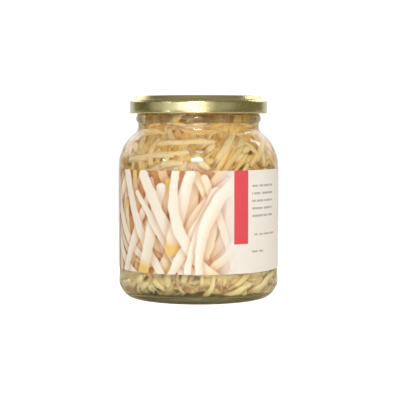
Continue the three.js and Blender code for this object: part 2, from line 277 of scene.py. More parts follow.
def glass_material(name, ior, tint=GLASS_TINT, roughness=0.0):
    """Clear glass, greener where it is thick at the foot. Lamps and soft light pass straight through it."""
    material, t = new_material(name)
    height = t.parts(t.place())[2]
    colour = t.mix(t.step(height, *THICK_SPAN), THICK_TINT, tint)
    inputs = {"Base Color": colour, "Roughness": roughness, "IOR": ior, "Transmission Weight": 1.0}
    if roughness:
        inputs["Normal"] = t.bump(t.noise(t.place(), 1100.0, 2.0), 0.0002)
    glass = t.shader(inputs)
    clear = t.node("ShaderNodeBsdfTransparent", {"Color": (0.97, 0.98, 0.96, 1.0)}).outputs[0]
    rays = t.node("ShaderNodeLightPath").outputs
    passing = t.math("MAXIMUM", rays["Is Shadow Ray"], rays["Is Diffuse Ray"])
    surface(t, t.node("ShaderNodeMixShader", {0: passing, 1: glass, 2: clear}).outputs[0])
    return material


BRINE_ABSORPTION = 48.0
BRINE_COLOUR = (0.92, 0.55, 0.02, 1.0)
BRINE_CLOUDINESS = 36.0
BRINE_CLOUD = (1.0, 0.82, 0.45, 1.0)


def brine_material():
    material, t = new_material("brine")
    clear = t.node("ShaderNodeBsdfTransparent").outputs[0]
    inputs = {"Color": BRINE_COLOUR, "Density": BRINE_ABSORPTION}
    absorbing = t.node("ShaderNodeVolumeAbsorption", inputs).outputs[0]
    cloudy = t.node("ShaderNodeVolumeScatter", {"Color": BRINE_CLOUD, "Density": BRINE_CLOUDINESS}).outputs[0]
    surface(t, clear, t.node("ShaderNodeAddShader", {0: absorbing, 1: cloudy}).outputs[0])
    return material


def gold_material():
    """Gold lacquer over tinplate, with fine orange peel and faint cloudy wear"""
    material, t = new_material("gold_lacquer")
    place = t.place()
    cloud = t.noise(place, 60.0, 3.0)
    colour = t.ramp(cloud, (0.3, (214, 200, 138)), (0.7, (222, 208, 146)))
    worn = t.noise(place, 240.0, 4.0)
    rough = t.step(worn, 0.35, 0.75, (0.25, 0.31))
    peel = t.noise(place, 900.0, 2.0)
    inputs = {"Base Color": colour, "Metallic": 1.0, "Roughness": rough, "Coat Weight": 0.4,
              "Coat Roughness": 0.12, "Normal": t.bump(peel, 0.00001, 0.15)}
    surface(t, t.shader(inputs))
    return material


def sealing_material():
    material, t = new_material("sealing_compound")
    place = t.place()
    fine = t.noise(place, 700.0, 3.0)
    colour = t.ramp(fine, (0.3, (214, 205, 178)), (0.7, (230, 223, 200)))
    inputs = {"Base Color": colour, "Roughness": 0.55, "Subsurface Weight": 0.15, "Subsurface Scale": 0.001,
              "Normal": t.bump(fine, 0.00005)}
    surface(t, t.shader(inputs))
    return material


OUTER_FLESH = ((252, 225, 178), (249, 212, 148), (239, 190, 112))
# The second set is a darker, warmer copy for the sprouts lying deeper: painted shade of depth
SHADED_DEEP_FLESH = ((250, 219, 154), (244, 203, 128), (229, 178, 96))
# Painted light: the sprouts are painted paler towards the foot of the jar
FOOT_PAINTED_LIGHT = (255, 244, 196)
FOOT_LIGHT_SPAN = (0.016, 0.024)


def sprout_material(name, pale, warm, shade):
    """Wet, soft sprout flesh, with painted light that makes it palest at the foot of the jar.

    Attributes: tone, a draw for each sprout; leaf, 1 on seed leaves; tip, browner towards 1, for brown root
    and cut ends, and for painted shade in the pits and neck of the packed mass."""
    material, t = new_material(name)
    place = t.place()
    tone = t.attribute("tone")
    colour = t.ramp(tone, (0.0, pale), (0.6, warm), (1.0, shade))
    cloud = t.noise(place, 260.0, 3.0)
    colour = t.mix(t.step(cloud, 0.35, 0.75, (0.0, 0.4)), colour, rgba(warm))
    strand = t.noise(t.vector("MULTIPLY", t.uv(), (9.0, 0.8, 1.0)), 1.0, 3.0)
    colour = t.mix(t.step(strand, 0.42, 0.75, (0.0, 0.42)), colour, rgba(shade))
    golden = t.ramp(tone, (0.0, (249, 224, 174)), (0.5, (242, 202, 130)), (1.0, (222, 166, 80)))
    colour = t.mix(t.attribute("leaf"), colour, golden)
    height = t.parts(place)[2]
    # Painted light: paler towards the foot of the jar
    colour = t.mix(t.step(height, *FOOT_LIGHT_SPAN, (0.55, 0.0)), colour, rgba(FOOT_PAINTED_LIGHT))
    # Brown root and cut ends, and painted shade in the pits and neck of the packed mass
    brown = t.times(t.attribute("tip"), t.step(cloud, 0.3, 0.7, (0.35, 0.9)))
    colour = t.mix(brown, colour, rgba((146, 92, 30)))
    inputs = {"Base Color": colour, "Roughness": 0.5, "IOR": 1.38, "Specular IOR Level": 0.12,
              "Subsurface Weight": 0.6, "Subsurface Radius": (1.0, 0.85, 0.6), "Subsurface Scale": 0.001,
              "Normal": t.bump(strand, 0.0003, 0.6)}
    surface(t, t.shader(inputs))
    return material


# Outlines of the jar, as points (radius, height)

def arc(r, z, radius_r, radius_z, start, end, steps):
    """Points on an ellipse, angles in degrees from outwards towards up"""
    angles = [math.radians(start + (end - start) * i / steps) for i in range(steps + 1)]
    return [(r + radius_r * math.cos(a), z + radius_z * math.sin(a)) for a in angles]


SHOULDER_R = BODY_RADIUS - SHOULDER_RADIUS
FILLET_R = NECK_RADIUS + NECK_FILLET
FILLET_Z = SHOULDER_Z + math.sqrt((SHOULDER_RADIUS + NECK_FILLET) ** 2 - (FILLET_R - SHOULDER_R) ** 2)
SHOULDER_ANGLE = math.atan2(FILLET_Z - SHOULDER_Z, FILLET_R - SHOULDER_R)
CAVITY_RADIUS = BODY_RADIUS - WALL
CAVITY_HEEL_Z = FLOOR_EDGE_Z + INNER_HEEL_HEIGHT
FLOOR_RADIUS = CAVITY_RADIUS - INNER_HEEL_WIDTH
NECK_CAVITY = NECK_RADIUS - WALL


def floor_z(r):
    return FLOOR_EDGE_Z + FLOOR_DOME * (1 - (r / FLOOR_RADIUS) ** 2)


def shoulder_and_neck(inset, steps):
    turn = math.degrees(SHOULDER_ANGLE)
    shoulder, fillet = SHOULDER_RADIUS - inset, NECK_FILLET + inset
    rise = arc(SHOULDER_R, SHOULDER_Z, shoulder, shoulder, 0, turn, steps)
    return rise + arc(FILLET_R, FILLET_Z, fillet, fillet, 180 + turn, 180, steps // 2)[1:]


def straight(start, end, step):
    """Points from start towards end, without end"""
    count = max(1, round(math.dist(start, end) / step))
    return [tuple(a + (b - a) * i / count for a, b in zip(start, end)) for i in range(count)]


def cavity_outline(inset, top_z):
    """The wet side of the jar from the neck at top_z down to the middle of the floor"""
    wall = shoulder_and_neck(WALL + inset, 24)[::-1]
    neck = straight((NECK_CAVITY - inset, top_z), wall[0], 1.5)
    body = straight(wall[-1], (CAVITY_RADIUS - inset, CAVITY_HEEL_Z), 3.0)[1:]
    heel_width, heel_height = INNER_HEEL_WIDTH - inset, INNER_HEEL_HEIGHT - inset
    heel = arc(FLOOR_RADIUS, CAVITY_HEEL_Z, heel_width, heel_height, 0, -90, 12)
    floor = [(r, floor_z(r) + inset) for r in np.linspace(FLOOR_RADIUS, 0, 12)[1:]]
    return neck + wall + body + heel + floor


def glass_outline():
    """The jar from the middle of its underside, up outside, over the rim, and down inside"""
    foot = [(0, 2.6), (9, 2.5), (18, 2.2), (24, 1.6), (27.4, 0.9), (28.6, 0.25), (FOOT_INNER_RADIUS, 0)]
    heel = arc(FOOT_OUTER_RADIUS, HEEL_HEIGHT, HEEL_WIDTH, HEEL_HEIGHT, -90, 0, 20)
    low_ring = [(BODY_RADIUS, z) for z in np.arange(HEEL_HEIGHT + 0.6, 14.7, 0.6)]
    body = straight((BODY_RADIUS, 14.9), (BODY_RADIUS, SHOULDER_Z), 4.0)
    neck = straight((NECK_RADIUS, FILLET_Z), (NECK_RADIUS, 87.0), 0.8)[1:]
    bead = arc(30.2, 88.75, 0.85, 1.75, -90, 78, 12)
    finish = straight((FINISH_RADIUS, 90.9), (FINISH_RADIUS, 97.2), 0.22)
    rim = arc(28.95, 97.2, 1.45, 1.0, 0, 180, 14)
    bore = [(NECK_CAVITY, 96.2)]
    outside = foot + heel + low_ring + body + shoulder_and_neck(0, 24) + neck + bead + finish + rim + bore
    return outside, cavity_outline(0.0, BRINE_TOP_Z)


# Meshes

def add_object(name, data):
    made = bpy.data.objects.new(name, data)
    bpy.context.scene.collection.objects.link(made)
    return made


def make_object(name, verts, faces, materials, slots=None):
    mesh = bpy.data.meshes.new(name)
    mesh.from_pydata([tuple(v) for v in np.asarray(verts) * MM], [], faces)
    for material in materials:
        mesh.materials.append(material)
    if slots is not None:
        mesh.polygons.foreach_set("material_index", slots)
    mesh.polygons.foreach_set("use_smooth", [True] * len(faces))
    mesh.update()
    return add_object(name, mesh)


def give_uv(mesh, by_vertex):
    corner = np.empty(len(mesh.loops), int)
    mesh.loops.foreach_get("vertex_index", corner)
    layer = mesh.uv_layers.get("UVMap") or mesh.uv_layers.new(name="UVMap")
    layer.data.foreach_set("uv", by_vertex[corner].reshape(-1))


def lathe(outline, segments, bend=None):
    """Vertices and faces of an outline turned round Z, and the row of each face.

    bend moves the points. It takes arrays of radius, height and azimuth, and the rows."""
    r, z = (np.array(column, float) for column in zip(*outline))
    turn = np.linspace(0, 2 * math.pi, segments, endpoint=False)
    radius, azimuth = np.meshgrid(r, turn, indexing="ij")
    height = np.repeat(z[:, None], segments, axis=1)
    if bend is not None:
        radius, height = bend(radius, height, azimuth, np.arange(len(r))[:, None])
    ring = np.stack([radius * np.sin(azimuth), -radius * np.cos(azimuth), height], axis=-1)
    verts, starts = [], []
    for row, at_axis in zip(ring, r < 1e-6):
        starts.append(len(verts))
        verts.extend(row[:1] if at_axis else row)
    closed = not (r[0] < 1e-6 or r[-1] < 1e-6)
    rows = list(range(len(r))) + ([0] if closed else [])
    faces, of_row = [], []
    for i, (a, b) in enumerate(zip(rows, rows[1:])):
        for j in range(segments):
            k = (j + 1) % segments
            low = (starts[a],) if r[a] < 1e-6 else (starts[a] + j, starts[a] + k)
            high = (starts[b],) if r[b] < 1e-6 else (starts[b] + k, starts[b] + j)
            faces.append(low + high)
            of_row.append(i)
    return np.array(verts), faces, np.array(of_row)


def smooth_rise(x, low, high):
    t = np.clip((x - low) / (high - low), 0, 1)
    return t * t * (3 - 2 * t)


def hump(x, rise, fall):
    """1 between a smooth rise and a smooth fall, each given by its two ends"""
    return smooth_rise(x, *rise) * (1 - smooth_rise(x, *fall))


def from_centre(azimuth, centre):
    """Degrees from an azimuth in degrees, -180 to 180"""
    return (np.degrees(azimuth) - centre + 180) % 360 - 180


THREAD_ENDS = 6.0
CONTACT_RING = 0.36
LOW_RING_RISE = (3.0, 6.5)
LOW_RING_TOP_Z = 15.2
HIGH_RING_SHARE = 0.5
HIGH_RING_RISE = (64.6, 66.0)
HIGH_RING_FALL = (68.0, 73.0)
WAVED_SPAN = (12, 88)


def moulded_bend(radius, height, azimuth, row):
    """Raises four ramps on the finish and two contact rings, and adds the waves of moulded glass inside"""
    per_degree = LID_RISE / LID_TURN
    middle = sum(THREAD_SPAN) / 2
    half = (THREAD_SPAN[1] - THREAD_SPAN[0]) / 2
    raised = np.zeros_like(radius)
    for turn in np.arange(LUGS) * 360 / LUGS:
        along = from_centre(azimuth, LUG_AZIMUTH + turn + middle) + half
        low = LUG_TOP_Z + THREAD_GAP + per_degree * (along + LUG_HALF_ANGLE + THREAD_SPAN[0])
        high = low + THREAD_HEIGHT
        ends = hump(along, (0, THREAD_ENDS), (2 * half - THREAD_ENDS, 2 * half))
        ridge = hump(height, (low - 0.1, low + 0.35), (high - 0.35, high + 0.1))
        raised = np.maximum(raised, THREAD_DEPTH * ends * ridge)
    finish = (np.abs(radius - FINISH_RADIUS) < 0.01) & (height > 90.8)
    wave = 0.06 * np.sin(3 * azimuth + height / 7) + 0.05 * np.sin(7 * azimuth - height / 4.5)
    slope = (LOW_RING_TOP_Z - height) / (LOW_RING_TOP_Z - LOW_RING_RISE[1])
    low_ring = smooth_rise(height, *LOW_RING_RISE) * np.clip(slope, 0, 1)
    low_ring = low_ring * (radius > CAVITY_RADIUS + 0.5)
    inside = row >= len(glass_outline()[0])
    high_ring = hump(height, HIGH_RING_RISE, HIGH_RING_FALL) * ~inside
    raised = np.where(finish, raised, CONTACT_RING * (low_ring + HIGH_RING_SHARE * high_ring))
    waved = inside & (height > WAVED_SPAN[0]) & (height < WAVED_SPAN[1])
    return radius + raised + np.where(waved, wave, 0), height


GLASS_SEGMENTS = 180
UNDERSIDE_ROWS = 10
# Painted shade: the stippled underside is darkened olive to stand for the shade under the jar
UNDERSIDE_PAINTED_SHADE = (0.35, 0.38, 0.1, 1.0)


def glass_jar():
    dry, wet = glass_outline()
    verts, faces, of_row = lathe(dry + wet, GLASS_SEGMENTS, moulded_bend)
    # The third material is stippled glass with painted shade on the underside
    materials = [glass_material("clear_glass", GLASS_IOR), glass_material("wet_glass", GLASS_IOR / BRINE_IOR),
                 glass_material("stippled_glass_painted_shade", GLASS_IOR, UNDERSIDE_PAINTED_SHADE, 0.35)]
    slots = np.select([of_row < UNDERSIDE_ROWS, of_row < len(dry)], [2, 0], 1)
    jar = make_object("clear_jar", verts, faces, materials, slots)
    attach(jar, "jar")
    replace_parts(jar, "glass_jar")


BRINE_INSET = 0.12
BRINE_SEGMENTS = 96


def brine_body():
    outline = [(0, BRINE_TOP_Z - BRINE_INSET)] + cavity_outline(BRINE_INSET, BRINE_TOP_Z - BRINE_INSET)
    verts, faces, _ = lathe(outline[::-1], BRINE_SEGMENTS)
    brine = make_object("brine_fill", verts, faces, [brine_material()])
    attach(brine, "jar")
    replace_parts(brine, "brine")


# Lid

LID_SKIRT_RADIUS = 34.1
LID_SHEET = 0.5
LID_SEGMENTS = 240
SEAL_SEGMENTS = 180


def lid_outline():
    """Panel with a sunk button, ring over the rim, skirt and curl, then back under the sheet"""
    button = [(0, 98.7), (5, 98.7)] + arc(9, 99.0, 0.3, 0.3, -90, -45, 3)
    button += arc(11.3, 98.9, 0.3, 0.3, 135, 90, 3) + [(12.5, 99.2)]
    panel = straight((13.5, 99.2), (25.8, 99.2), 3.0)
    ring = arc(25.8, 99.5, 0.3, 0.3, -90, -30, 3) + arc(28.0, 99.1, 1.3, 1.0, 150, 90, 6)
    ring += arc(29.7, 98.7, 1.4, 1.4, 80, 25, 6) + arc(32.0, 98.75, 0.6, 0.55, -150, -90, 4)
    shoulder = arc(32.4, 96.5, 1.7, 1.7, 80, 0, 10)
    skirt = straight((LID_SKIRT_RADIUS, 96.1), (LID_SKIRT_RADIUS - 0.12, 93.0), 0.8)
    curl = arc(33.4, 92.0, 0.7, 0.7, 25, -215, 16)
    inner = LID_SKIRT_RADIUS - LID_SHEET
    inside = [(inner - 0.35, 92.75), (inner - 0.1, 93.3), (inner, 94.5), (inner, 96.2)]
    under = arc(32.3, 96.4, 1.3, 1.3, 0, 80, 6) + [(31.6, 97.9), (31.1, 98.6), (30.4, 99.3), (29.6, 99.6)]
    under += [(28.0, 99.6), (27.2, 99.3), (26.4, 98.7), (11.7, 98.7), (9.2, 98.2), (0, 98.2)]
    return (button + panel + ring + shoulder + skirt + curl + inside + under)[::-1]


def lug_bend(radius, height, azimuth, row):
    """Presses the curl inwards at four places to make the lugs"""
    press = np.zeros_like(radius)
    for turn in np.arange(LUGS) * 360 / LUGS:
        away = np.abs(from_centre(azimuth, LUG_AZIMUTH + turn))
        press = np.maximum(press, 1 - smooth_rise(away, LUG_HALF_ANGLE - 1.5, LUG_HALF_ANGLE))
    share = smooth_rise(34.0 - radius, 0.0, 1.2) * (height < LUG_TOP_Z + 0.3)
    return radius - LUG_DEPTH * press * share, height


def lid():
    verts, faces, _ = lathe(lid_outline(), LID_SEGMENTS, lug_bend)
    made = make_object("gold_lid", verts, faces, [gold_material()])
    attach(made, "lid")
    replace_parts(made, "lid")


def lid_seal():
    outline = arc(29.0, 98.75, 1.4, 0.35, -75, 75, 8) + arc(29.0, 98.9, 1.35, 0.5, 105, 255, 8)
    verts, faces, _ = lathe(outline, SEAL_SEGMENTS)
    made = make_object("soft_seal", verts, faces, [sealing_material()])
    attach(made, "liner")
    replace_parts(made, "lid_liner")


# Sprouts: where they lie

def seeded(seed):
    """Draws from 0 to 1 (mulberry32), the same as the solids'"""
    whole = 0xFFFFFFFF
    state = seed & whole

    def draw():
        nonlocal state
        state = (state + 0x6D2B79F5) & whole
        t = ((state ^ (state >> 15)) * (state | 1)) & whole
        t = ((t + (((t ^ (t >> 7)) * (t | 61)) & whole)) ^ t) & whole
        return ((t ^ (t >> 14)) & whole) / 4294967296

    return draw


def between(random, low, high):
    return low + (high - low) * random()


STRAIGHT_LENGTH = SHOULDER_Z - CAVITY_HEEL_Z
SHOULDER_LENGTH = (SHOULDER_RADIUS - WALL) * SHOULDER_ANGLE
FILLET_START_Z = SHOULDER_Z + (SHOULDER_RADIUS - WALL) * math.sin(SHOULDER_ANGLE)
HEEL_ROUND = (INNER_HEEL_WIDTH + INNER_HEEL_HEIGHT) / 2
HEEL_LENGTH = HEEL_ROUND * math.pi / 2


def wall_at(up):
    """The cavity wall by its length up from the heel: radius, height, and the direction into the cavity.

    Below 0 it follows the inner heel, then the floor inwards."""
    if up < -HEEL_LENGTH:
        r = FLOOR_RADIUS + up + HEEL_LENGTH
        return r, floor_z(r), 0.0, 1.0
    if up < 0:
        a = up / HEEL_ROUND
        c, s = math.cos(a), math.sin(a)
        return FLOOR_RADIUS + INNER_HEEL_WIDTH * c, CAVITY_HEEL_Z + INNER_HEEL_HEIGHT * s, -c, -s
    if up < STRAIGHT_LENGTH:
        return CAVITY_RADIUS, CAVITY_HEEL_Z + up, -1.0, 0.0
    if up < STRAIGHT_LENGTH + SHOULDER_LENGTH:
        radius = SHOULDER_RADIUS - WALL
        a = (up - STRAIGHT_LENGTH) / radius
        c, s = math.cos(a), math.sin(a)
        return SHOULDER_R + radius * c, SHOULDER_Z + radius * s, -c, -s
    radius = NECK_FILLET + WALL
    a = math.pi + SHOULDER_ANGLE - (up - STRAIGHT_LENGTH - SHOULDER_LENGTH) / radius
    if a < math.pi:
        return NECK_CAVITY, FILLET_Z + radius * (math.pi - a), -1.0, 0.0
    c, s = math.cos(a), math.sin(a)
    return FILLET_R + radius * c, FILLET_Z + radius * s, c, s


def wall_gap(at):
    """How far places lie from the cavity wall"""
    r, z = np.hypot(at[:, 0], at[:, 1]), at[:, 2]
    low = z < CAVITY_HEEL_Z
    across, down = (r - FLOOR_RADIUS) / INNER_HEEL_WIDTH, (z - CAVITY_HEEL_Z) / INNER_HEEL_HEIGHT
    heel = HEEL_ROUND * (1 - np.hypot(across, down))
    shoulder = SHOULDER_RADIUS - WALL - np.hypot(r - SHOULDER_R, z - SHOULDER_Z)
    fillet = np.hypot(r - FILLET_R, z - FILLET_Z) - NECK_FILLET - WALL
    zones = [low & (r > FLOOR_RADIUS), low, z < SHOULDER_Z, z < FILLET_START_Z, z < FILLET_Z]
    return np.select(zones, [heel, z - floor_z(r), CAVITY_RADIUS - r, shoulder, fillet], NECK_CAVITY - r)


def march(sprout, steps, start, place, move):
    """Walks both ways from a sprout's middle. place gives (point, away, up) and move the next state."""
    half = steps // 2
    line = [None] * (steps + 1)
    for way in (-1, 1):
        stride = way * sprout["length"] / steps
        state = start
        for i in range(half + 1):
            line[half + way * i] = place(state)
            gone = stride * (i + 0.5)
            heading = sprout["heading"] + sprout["bend"] * gone
            if "hook" in sprout:
                heading += sprout["hook"] * smooth_rise(gone / sprout["length"], 0.24, 0.5)
                heading += sprout["wander"] * math.sin(0.5 * gone + 6 * sprout["wander"])
            state = move(state, heading, stride)
    at, away, up = zip(*line)
    return {"at": np.array(at), "away": np.array(away), "up": np.array(up)}


def wall_line(sprout, steps):
    depth = sprout["depth"]

    def place(state):
        azimuth, up = state
        r, z, in_r, in_z = wall_at(up)
        s, c = math.sin(azimuth), math.cos(azimuth)
        across = r + in_r * depth
        return (across * s, -across * c, z + in_z * depth), (in_r * s, -in_r * c, in_z), up

    def move(state, heading, stride):
        azimuth, up = state
        r, _, in_r, _ = wall_at(up)
        return azimuth + math.cos(heading) * stride / (r + in_r * depth), up + math.sin(heading) * stride

    return march(sprout, steps, (sprout["azimuth"], sprout["up"]), place, move)


def floor_line(sprout, steps):
    def place(state):
        x, y = state
        return (x, y, floor_z(math.hypot(x, y)) + sprout["depth"]), (0.0, 0.0, 1.0), 0.0

    def move(state, heading, stride):
        return state[0] + math.cos(heading) * stride, state[1] + math.sin(heading) * stride

    return march(sprout, steps, (sprout["x"], sprout["y"]), place, move)


def stem_share(t):
    """Half width of a stem at t, from 0 at the root to 1 under the seed leaves, as a share of the full one"""
    return (0.3 + 0.7 * np.minimum(1, t / 0.35)) * (1 - 0.28 * np.maximum(0, (t - 0.75) / 0.25))


def unit(v):
    return v / np.linalg.norm(v, axis=-1, keepdims=True)


def tangents(at):
    ahead = np.concatenate([at[1:], at[-1:]])
    behind = np.concatenate([at[:1], at[:-1]])
    return unit(ahead - behind)


def room_of(line, headed):
    """Balls along a sprout that say how much room it takes: places, radii, and which are its seed leaves"""
    at = line["at"]
    radius = STEM_HALF_WIDTH * stem_share(np.linspace(0, 1, len(at)))
    leaf = np.zeros(len(at), bool)
    if headed:
        reach = np.array([0.0, 2.0, 4.0])
        at = np.concatenate([at, at[-1] + reach[:, None] * tangents(at)[-1]])
        radius = np.concatenate([radius, HEAD_SPREAD + HEAD_HALF_WIDTH - 0.15 * reach])
        leaf = np.concatenate([leaf, [True] * 3])
    return at, radius, leaf


def clear_of_glass(sprout, room):
    corners = wall_line(sprout, STEM_STEPS)["at"]
    middles = (corners[1:] + corners[:-1]) / 2
    places = np.concatenate([middles, room[0][room[2]]])
    return np.all(wall_gap(places) > STEM_HALF_THICKNESS + GLASS_CLEARANCE)


WIDEST_ROOM = HEAD_SPREAD + HEAD_HALF_WIDTH
NO_ROOM = (np.empty((0, 3)), np.empty(0))


def apart(room, others, clearance=SIDE_CLEARANCE):
    at, radius = room[:2]
    margin = radius.max() + WIDEST_ROOM + clearance
    near = np.all((others[0] > at.min(0) - margin) & (others[0] < at.max(0) + margin), axis=1)
    gap = at[:, None, :] - others[0][None, near, :]
    reach = radius[:, None] + others[1][None, near] + clearance
    return bool(np.all(np.einsum("ijk,ijk->ij", gap, gap) > reach ** 2))


def with_room(others, room):
    return tuple(np.concatenate([a, b]) for a, b in zip(others, room))


def place_layer(draw, line_of, fits, wanted, random):
    """The solids' own placing: sprouts get shorter try by try, and each lies clear of those before it"""
    kept, taken = [], NO_ROOM
    for tried in range(PLACING_TRIES):
        if len(kept) == wanted:
            break
        tightness = tried / PLACING_TRIES
        shrink = math.sqrt(tightness) * (0.6 + 0.4 * random())
        sprout = {**draw(random), "length": LONGEST_STEM - (LONGEST_STEM - SHORTEST_STEM) * shrink}
        sprout["headed"] = random() < HEADED_SHARE
        line = line_of(sprout, PLACING_STEPS)
        room = room_of(line, sprout["headed"])
        if fits(sprout, line, room) and apart(room, taken):
            kept.append(sprout)
            taken = with_room(taken, room)
    return kept


def draw_on_wall(random):
    return {
        "azimuth": 2 * math.pi * random(),
        "up": between(random, *LAYER_SPAN),
        "heading": 2 * math.pi * random(),
        "bend": (random() - 0.5) * STEM_BEND,
        "depth": OUTER_DEPTH,
    }


def fits_wall(sprout, line, room):
    inside = np.all((line["up"] > LAYER_SPAN[0]) & (line["up"] < LAYER_SPAN[1]))
    z = room[0][:, 2]
    inside = inside and np.all((z < HIGHEST_SPROUT_Z) & (z > CAVITY_HEEL_Z + 2))
    return inside and clear_of_glass(sprout, room)


def draw_on_floor(random):
    return {
        "x": FLOOR_LAYER_RADIUS * (2 * random() - 1),
        "y": FLOOR_LAYER_RADIUS * (2 * random() - 1),
        "heading": 2 * math.pi * random(),
        "bend": (random() - 0.5) * FLOOR_STEM_BEND,
        "depth": OUTER_DEPTH,
    }


def fits_floor(sprout, line, room):
    return np.all(np.hypot(room[0][:, 0], room[0][:, 1]) + room[1] < FLOOR_LAYER_RADIUS + 2)


def tangle_stems():
    random = seeded(SEED + 2)
    stems = []
    for share in TANGLE_ROWS:
        for i in range(TANGLE_ROW_STEMS):
            stems.append({
                "azimuth": 2 * math.pi * (i + share + 0.5 * (random() - 0.5)) / TANGLE_ROW_STEMS,
                "up": LAYER_SPAN[0] + (LAYER_SPAN[1] - LAYER_SPAN[0]) * share + 5 * (random() - 0.5),
                "heading": (1 if i % 2 else -1) * math.radians(52) + 0.5 * (random() - 0.5),
                "bend": 0.03 * (random() - 0.5),
                "depth": INNER_DEPTH + 0.3 * (random() - 0.5),
                "length": TANGLE_STEM + 8 * (random() - 0.5),
                "headed": False,
            })
    return stems


# Sprouts: their fine shape

LEAF_SIDES = 12
LEAF_ROWS = 9


class Bunch:
    """Collects the meshes of sprouts, with what their material reads"""

    def __init__(self):
        self.verts, self.faces, self.uvs = [], [], []
        self.attributes = {"tone": [], "leaf": [], "tip": []}
        self.count = 0

    def grid(self, points, uv, tone, leaf, tip):
        """Adds a closed tube: points of rows by sides, with its first and last rows closed by fans"""
        rows, sides = points.shape[:2]
        first = self.count
        low, high = first + rows * sides, first + rows * sides + 1
        self.verts.append(points.reshape(-1, 3))
        self.verts.append(np.stack([points[0].mean(axis=0), points[-1].mean(axis=0)]))
        self.count = high + 1
        ring = np.arange(sides)
        ahead = (ring + 1) % sides
        start = first + sides * np.arange(rows - 1)[:, None]
        quads = np.stack([start + ring, start + ahead, start + sides + ahead, start + sides + ring], axis=-1)
        self.faces.extend(quads.reshape(-1, 4).tolist())
        last = first + (rows - 1) * sides
        self.faces.extend([low, first + k, first + j] for j, k in zip(ring.tolist(), ahead.tolist()))
        self.faces.extend([high, last + j, last + k] for j, k in zip(ring.tolist(), ahead.tolist()))
        self.uvs.append(np.concatenate([uv.reshape(-1, 2), uv[0, :1], uv[-1, :1]]))
        for key, value in (("tone", tone), ("leaf", leaf), ("tip", tip)):
            by_row = np.broadcast_to(np.asarray(value, float), (rows,))
            self.attributes[key].append(np.concatenate([np.repeat(by_row, sides), by_row[[0, -1]]]))

    def stem(self, line, half, share, sides, tone, random, cut):
        """A tapering tube along a line, with a soft root and a cut or rounded top. half: width, thickness"""
        at, away = line["at"], line["away"]
        tangent = tangents(at)
        side = unit(np.cross(tangent, away))
        out = np.cross(tangent, side)
        t = np.linspace(0, 1, len(at))
        length = np.concatenate([[0], np.cumsum(np.linalg.norm(np.diff(at, axis=0), axis=1))])
        phase = [2 * math.pi * random() for _ in range(4)]
        swell = 1 + 0.1 * np.sin(0.35 * length + phase[0]) + 0.05 * np.sin(1.1 * length + phase[1])
        girth = share(t) * swell
        turn = np.linspace(0, 2 * math.pi, sides, endpoint=False)
        ridge = 1 + 0.08 * np.sin(2 * turn[None, :] + 0.16 * length[:, None] + phase[2])
        wide = half[0] * girth[:, None] * ridge * np.cos(turn)
        thick = half[1] * girth[:, None] * ridge * np.sin(turn)
        centre = at + side * (0.14 * half[0] * np.sin(0.4 * length + phase[3]))[:, None]
        points = centre[:, None] + side[:, None] * wide[..., None] + out[:, None] * thick[..., None]
        root_rows = rounded(points[0], centre[0], -tangent[0], 2.4 * half[0] * girth[0])
        top_rows = rounded(points[-1], centre[-1], tangent[-1], (0.15 if cut else 0.8) * half[0] * girth[-1])
        points = np.concatenate([root_rows[::-1], points, top_rows])
        along = np.concatenate([[0] * len(root_rows), length, [length[-1]] * len(top_rows)])
        uv = np.stack(np.broadcast_arrays(turn[None, :] / (2 * math.pi), along[:, None]), axis=-1)
        tip = 0.8 * (1 - smooth_rise(along, 0.4, 3.0))
        if cut:
            tip = np.maximum(tip, 0.6 * smooth_rise(along, length[-1] - 0.4, length[-1]))
        self.grid(points, uv, tone, 0.0, tip)

    def leaf(self, centre, along, out, way, half, tone):
        """A seed leaf: a plump half bean, flatter towards its partner. half: width, length, thickness"""
        across = unit(np.cross(along, out)) * way
        turn = np.linspace(0, 2 * math.pi, LEAF_SIDES, endpoint=False)
        drop = np.linspace(0.12, math.pi - 0.12, LEAF_ROWS)
        width = np.sin(drop)[:, None] * np.cos(turn)
        width = np.where(width < 0, width * 0.5, width) + 0.16 * np.cos(2 * drop)[:, None]
        thick = np.sin(drop)[:, None] * np.sin(turn)
        length = np.cos(drop)[:, None] + np.zeros_like(width)
        points = centre + across * (width * half[0])[..., None] + along * (length * half[1])[..., None]
        points = points + out * (thick * half[2])[..., None]
        if np.dot(np.cross(across, out), along) > 0:
            points = points[:, ::-1]
        uv = np.stack(np.broadcast_arrays(turn[None, :] / 6, drop[:, None] * 2), axis=-1)
        self.grid(points, uv, tone, 1.0, smooth_rise(drop, 2.3, 3.0) * 0.5)

    def piece(self, name, material):
        made = make_object(name, np.concatenate(self.verts), self.faces, [material])
        mesh = made.data
        for key, values in self.attributes.items():
            mesh.attributes.new(key, "FLOAT", "POINT").data.foreach_set("value", np.concatenate(values))
        give_uv(mesh, np.concatenate(self.uvs))
        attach(made, "jar")
        return made


def rounded(ring, centre, direction, reach):
    """Three shrinking rings that close an end"""
    spokes, ahead = ring - centre, direction * reach
    return np.array([centre + spokes * math.cos(a) + ahead * math.sin(a) for a in (0.45, 0.95, 1.35)])


def even_share(t):
    return 0.7 + 0.3 * np.sin(math.pi * np.clip(t, 0, 1))


def pointed_share(t):
    return 0.45 + 0.55 * np.sin(math.pi * t) ** 0.4


def root_share(t):
    return 0.35 + 0.65 * t


def pair_of_leaves(bunch, line, tone, half, spread, reach, splay=0.3):
    """Two seed leaves side by side at the end of a line. half: width, length, thickness"""
    at, away = line["at"][-1], line["away"][-1]
    tangent = tangents(line["at"])[-1]
    side = unit(np.cross(tangent, away))
    out = unit(np.cross(side, tangent))
    for way in (-1, 1):
        along = unit(tangent + splay * way * side)
        bunch.leaf(at + reach * tangent + spread * way * side, along, out, way, half, tone)


FINE_STEM = (1.75, 1.4)
FINE_LEAF = (2.1, 3.7, 1.5)
FINE_SIDES = 12
FINE_STEPS = 30


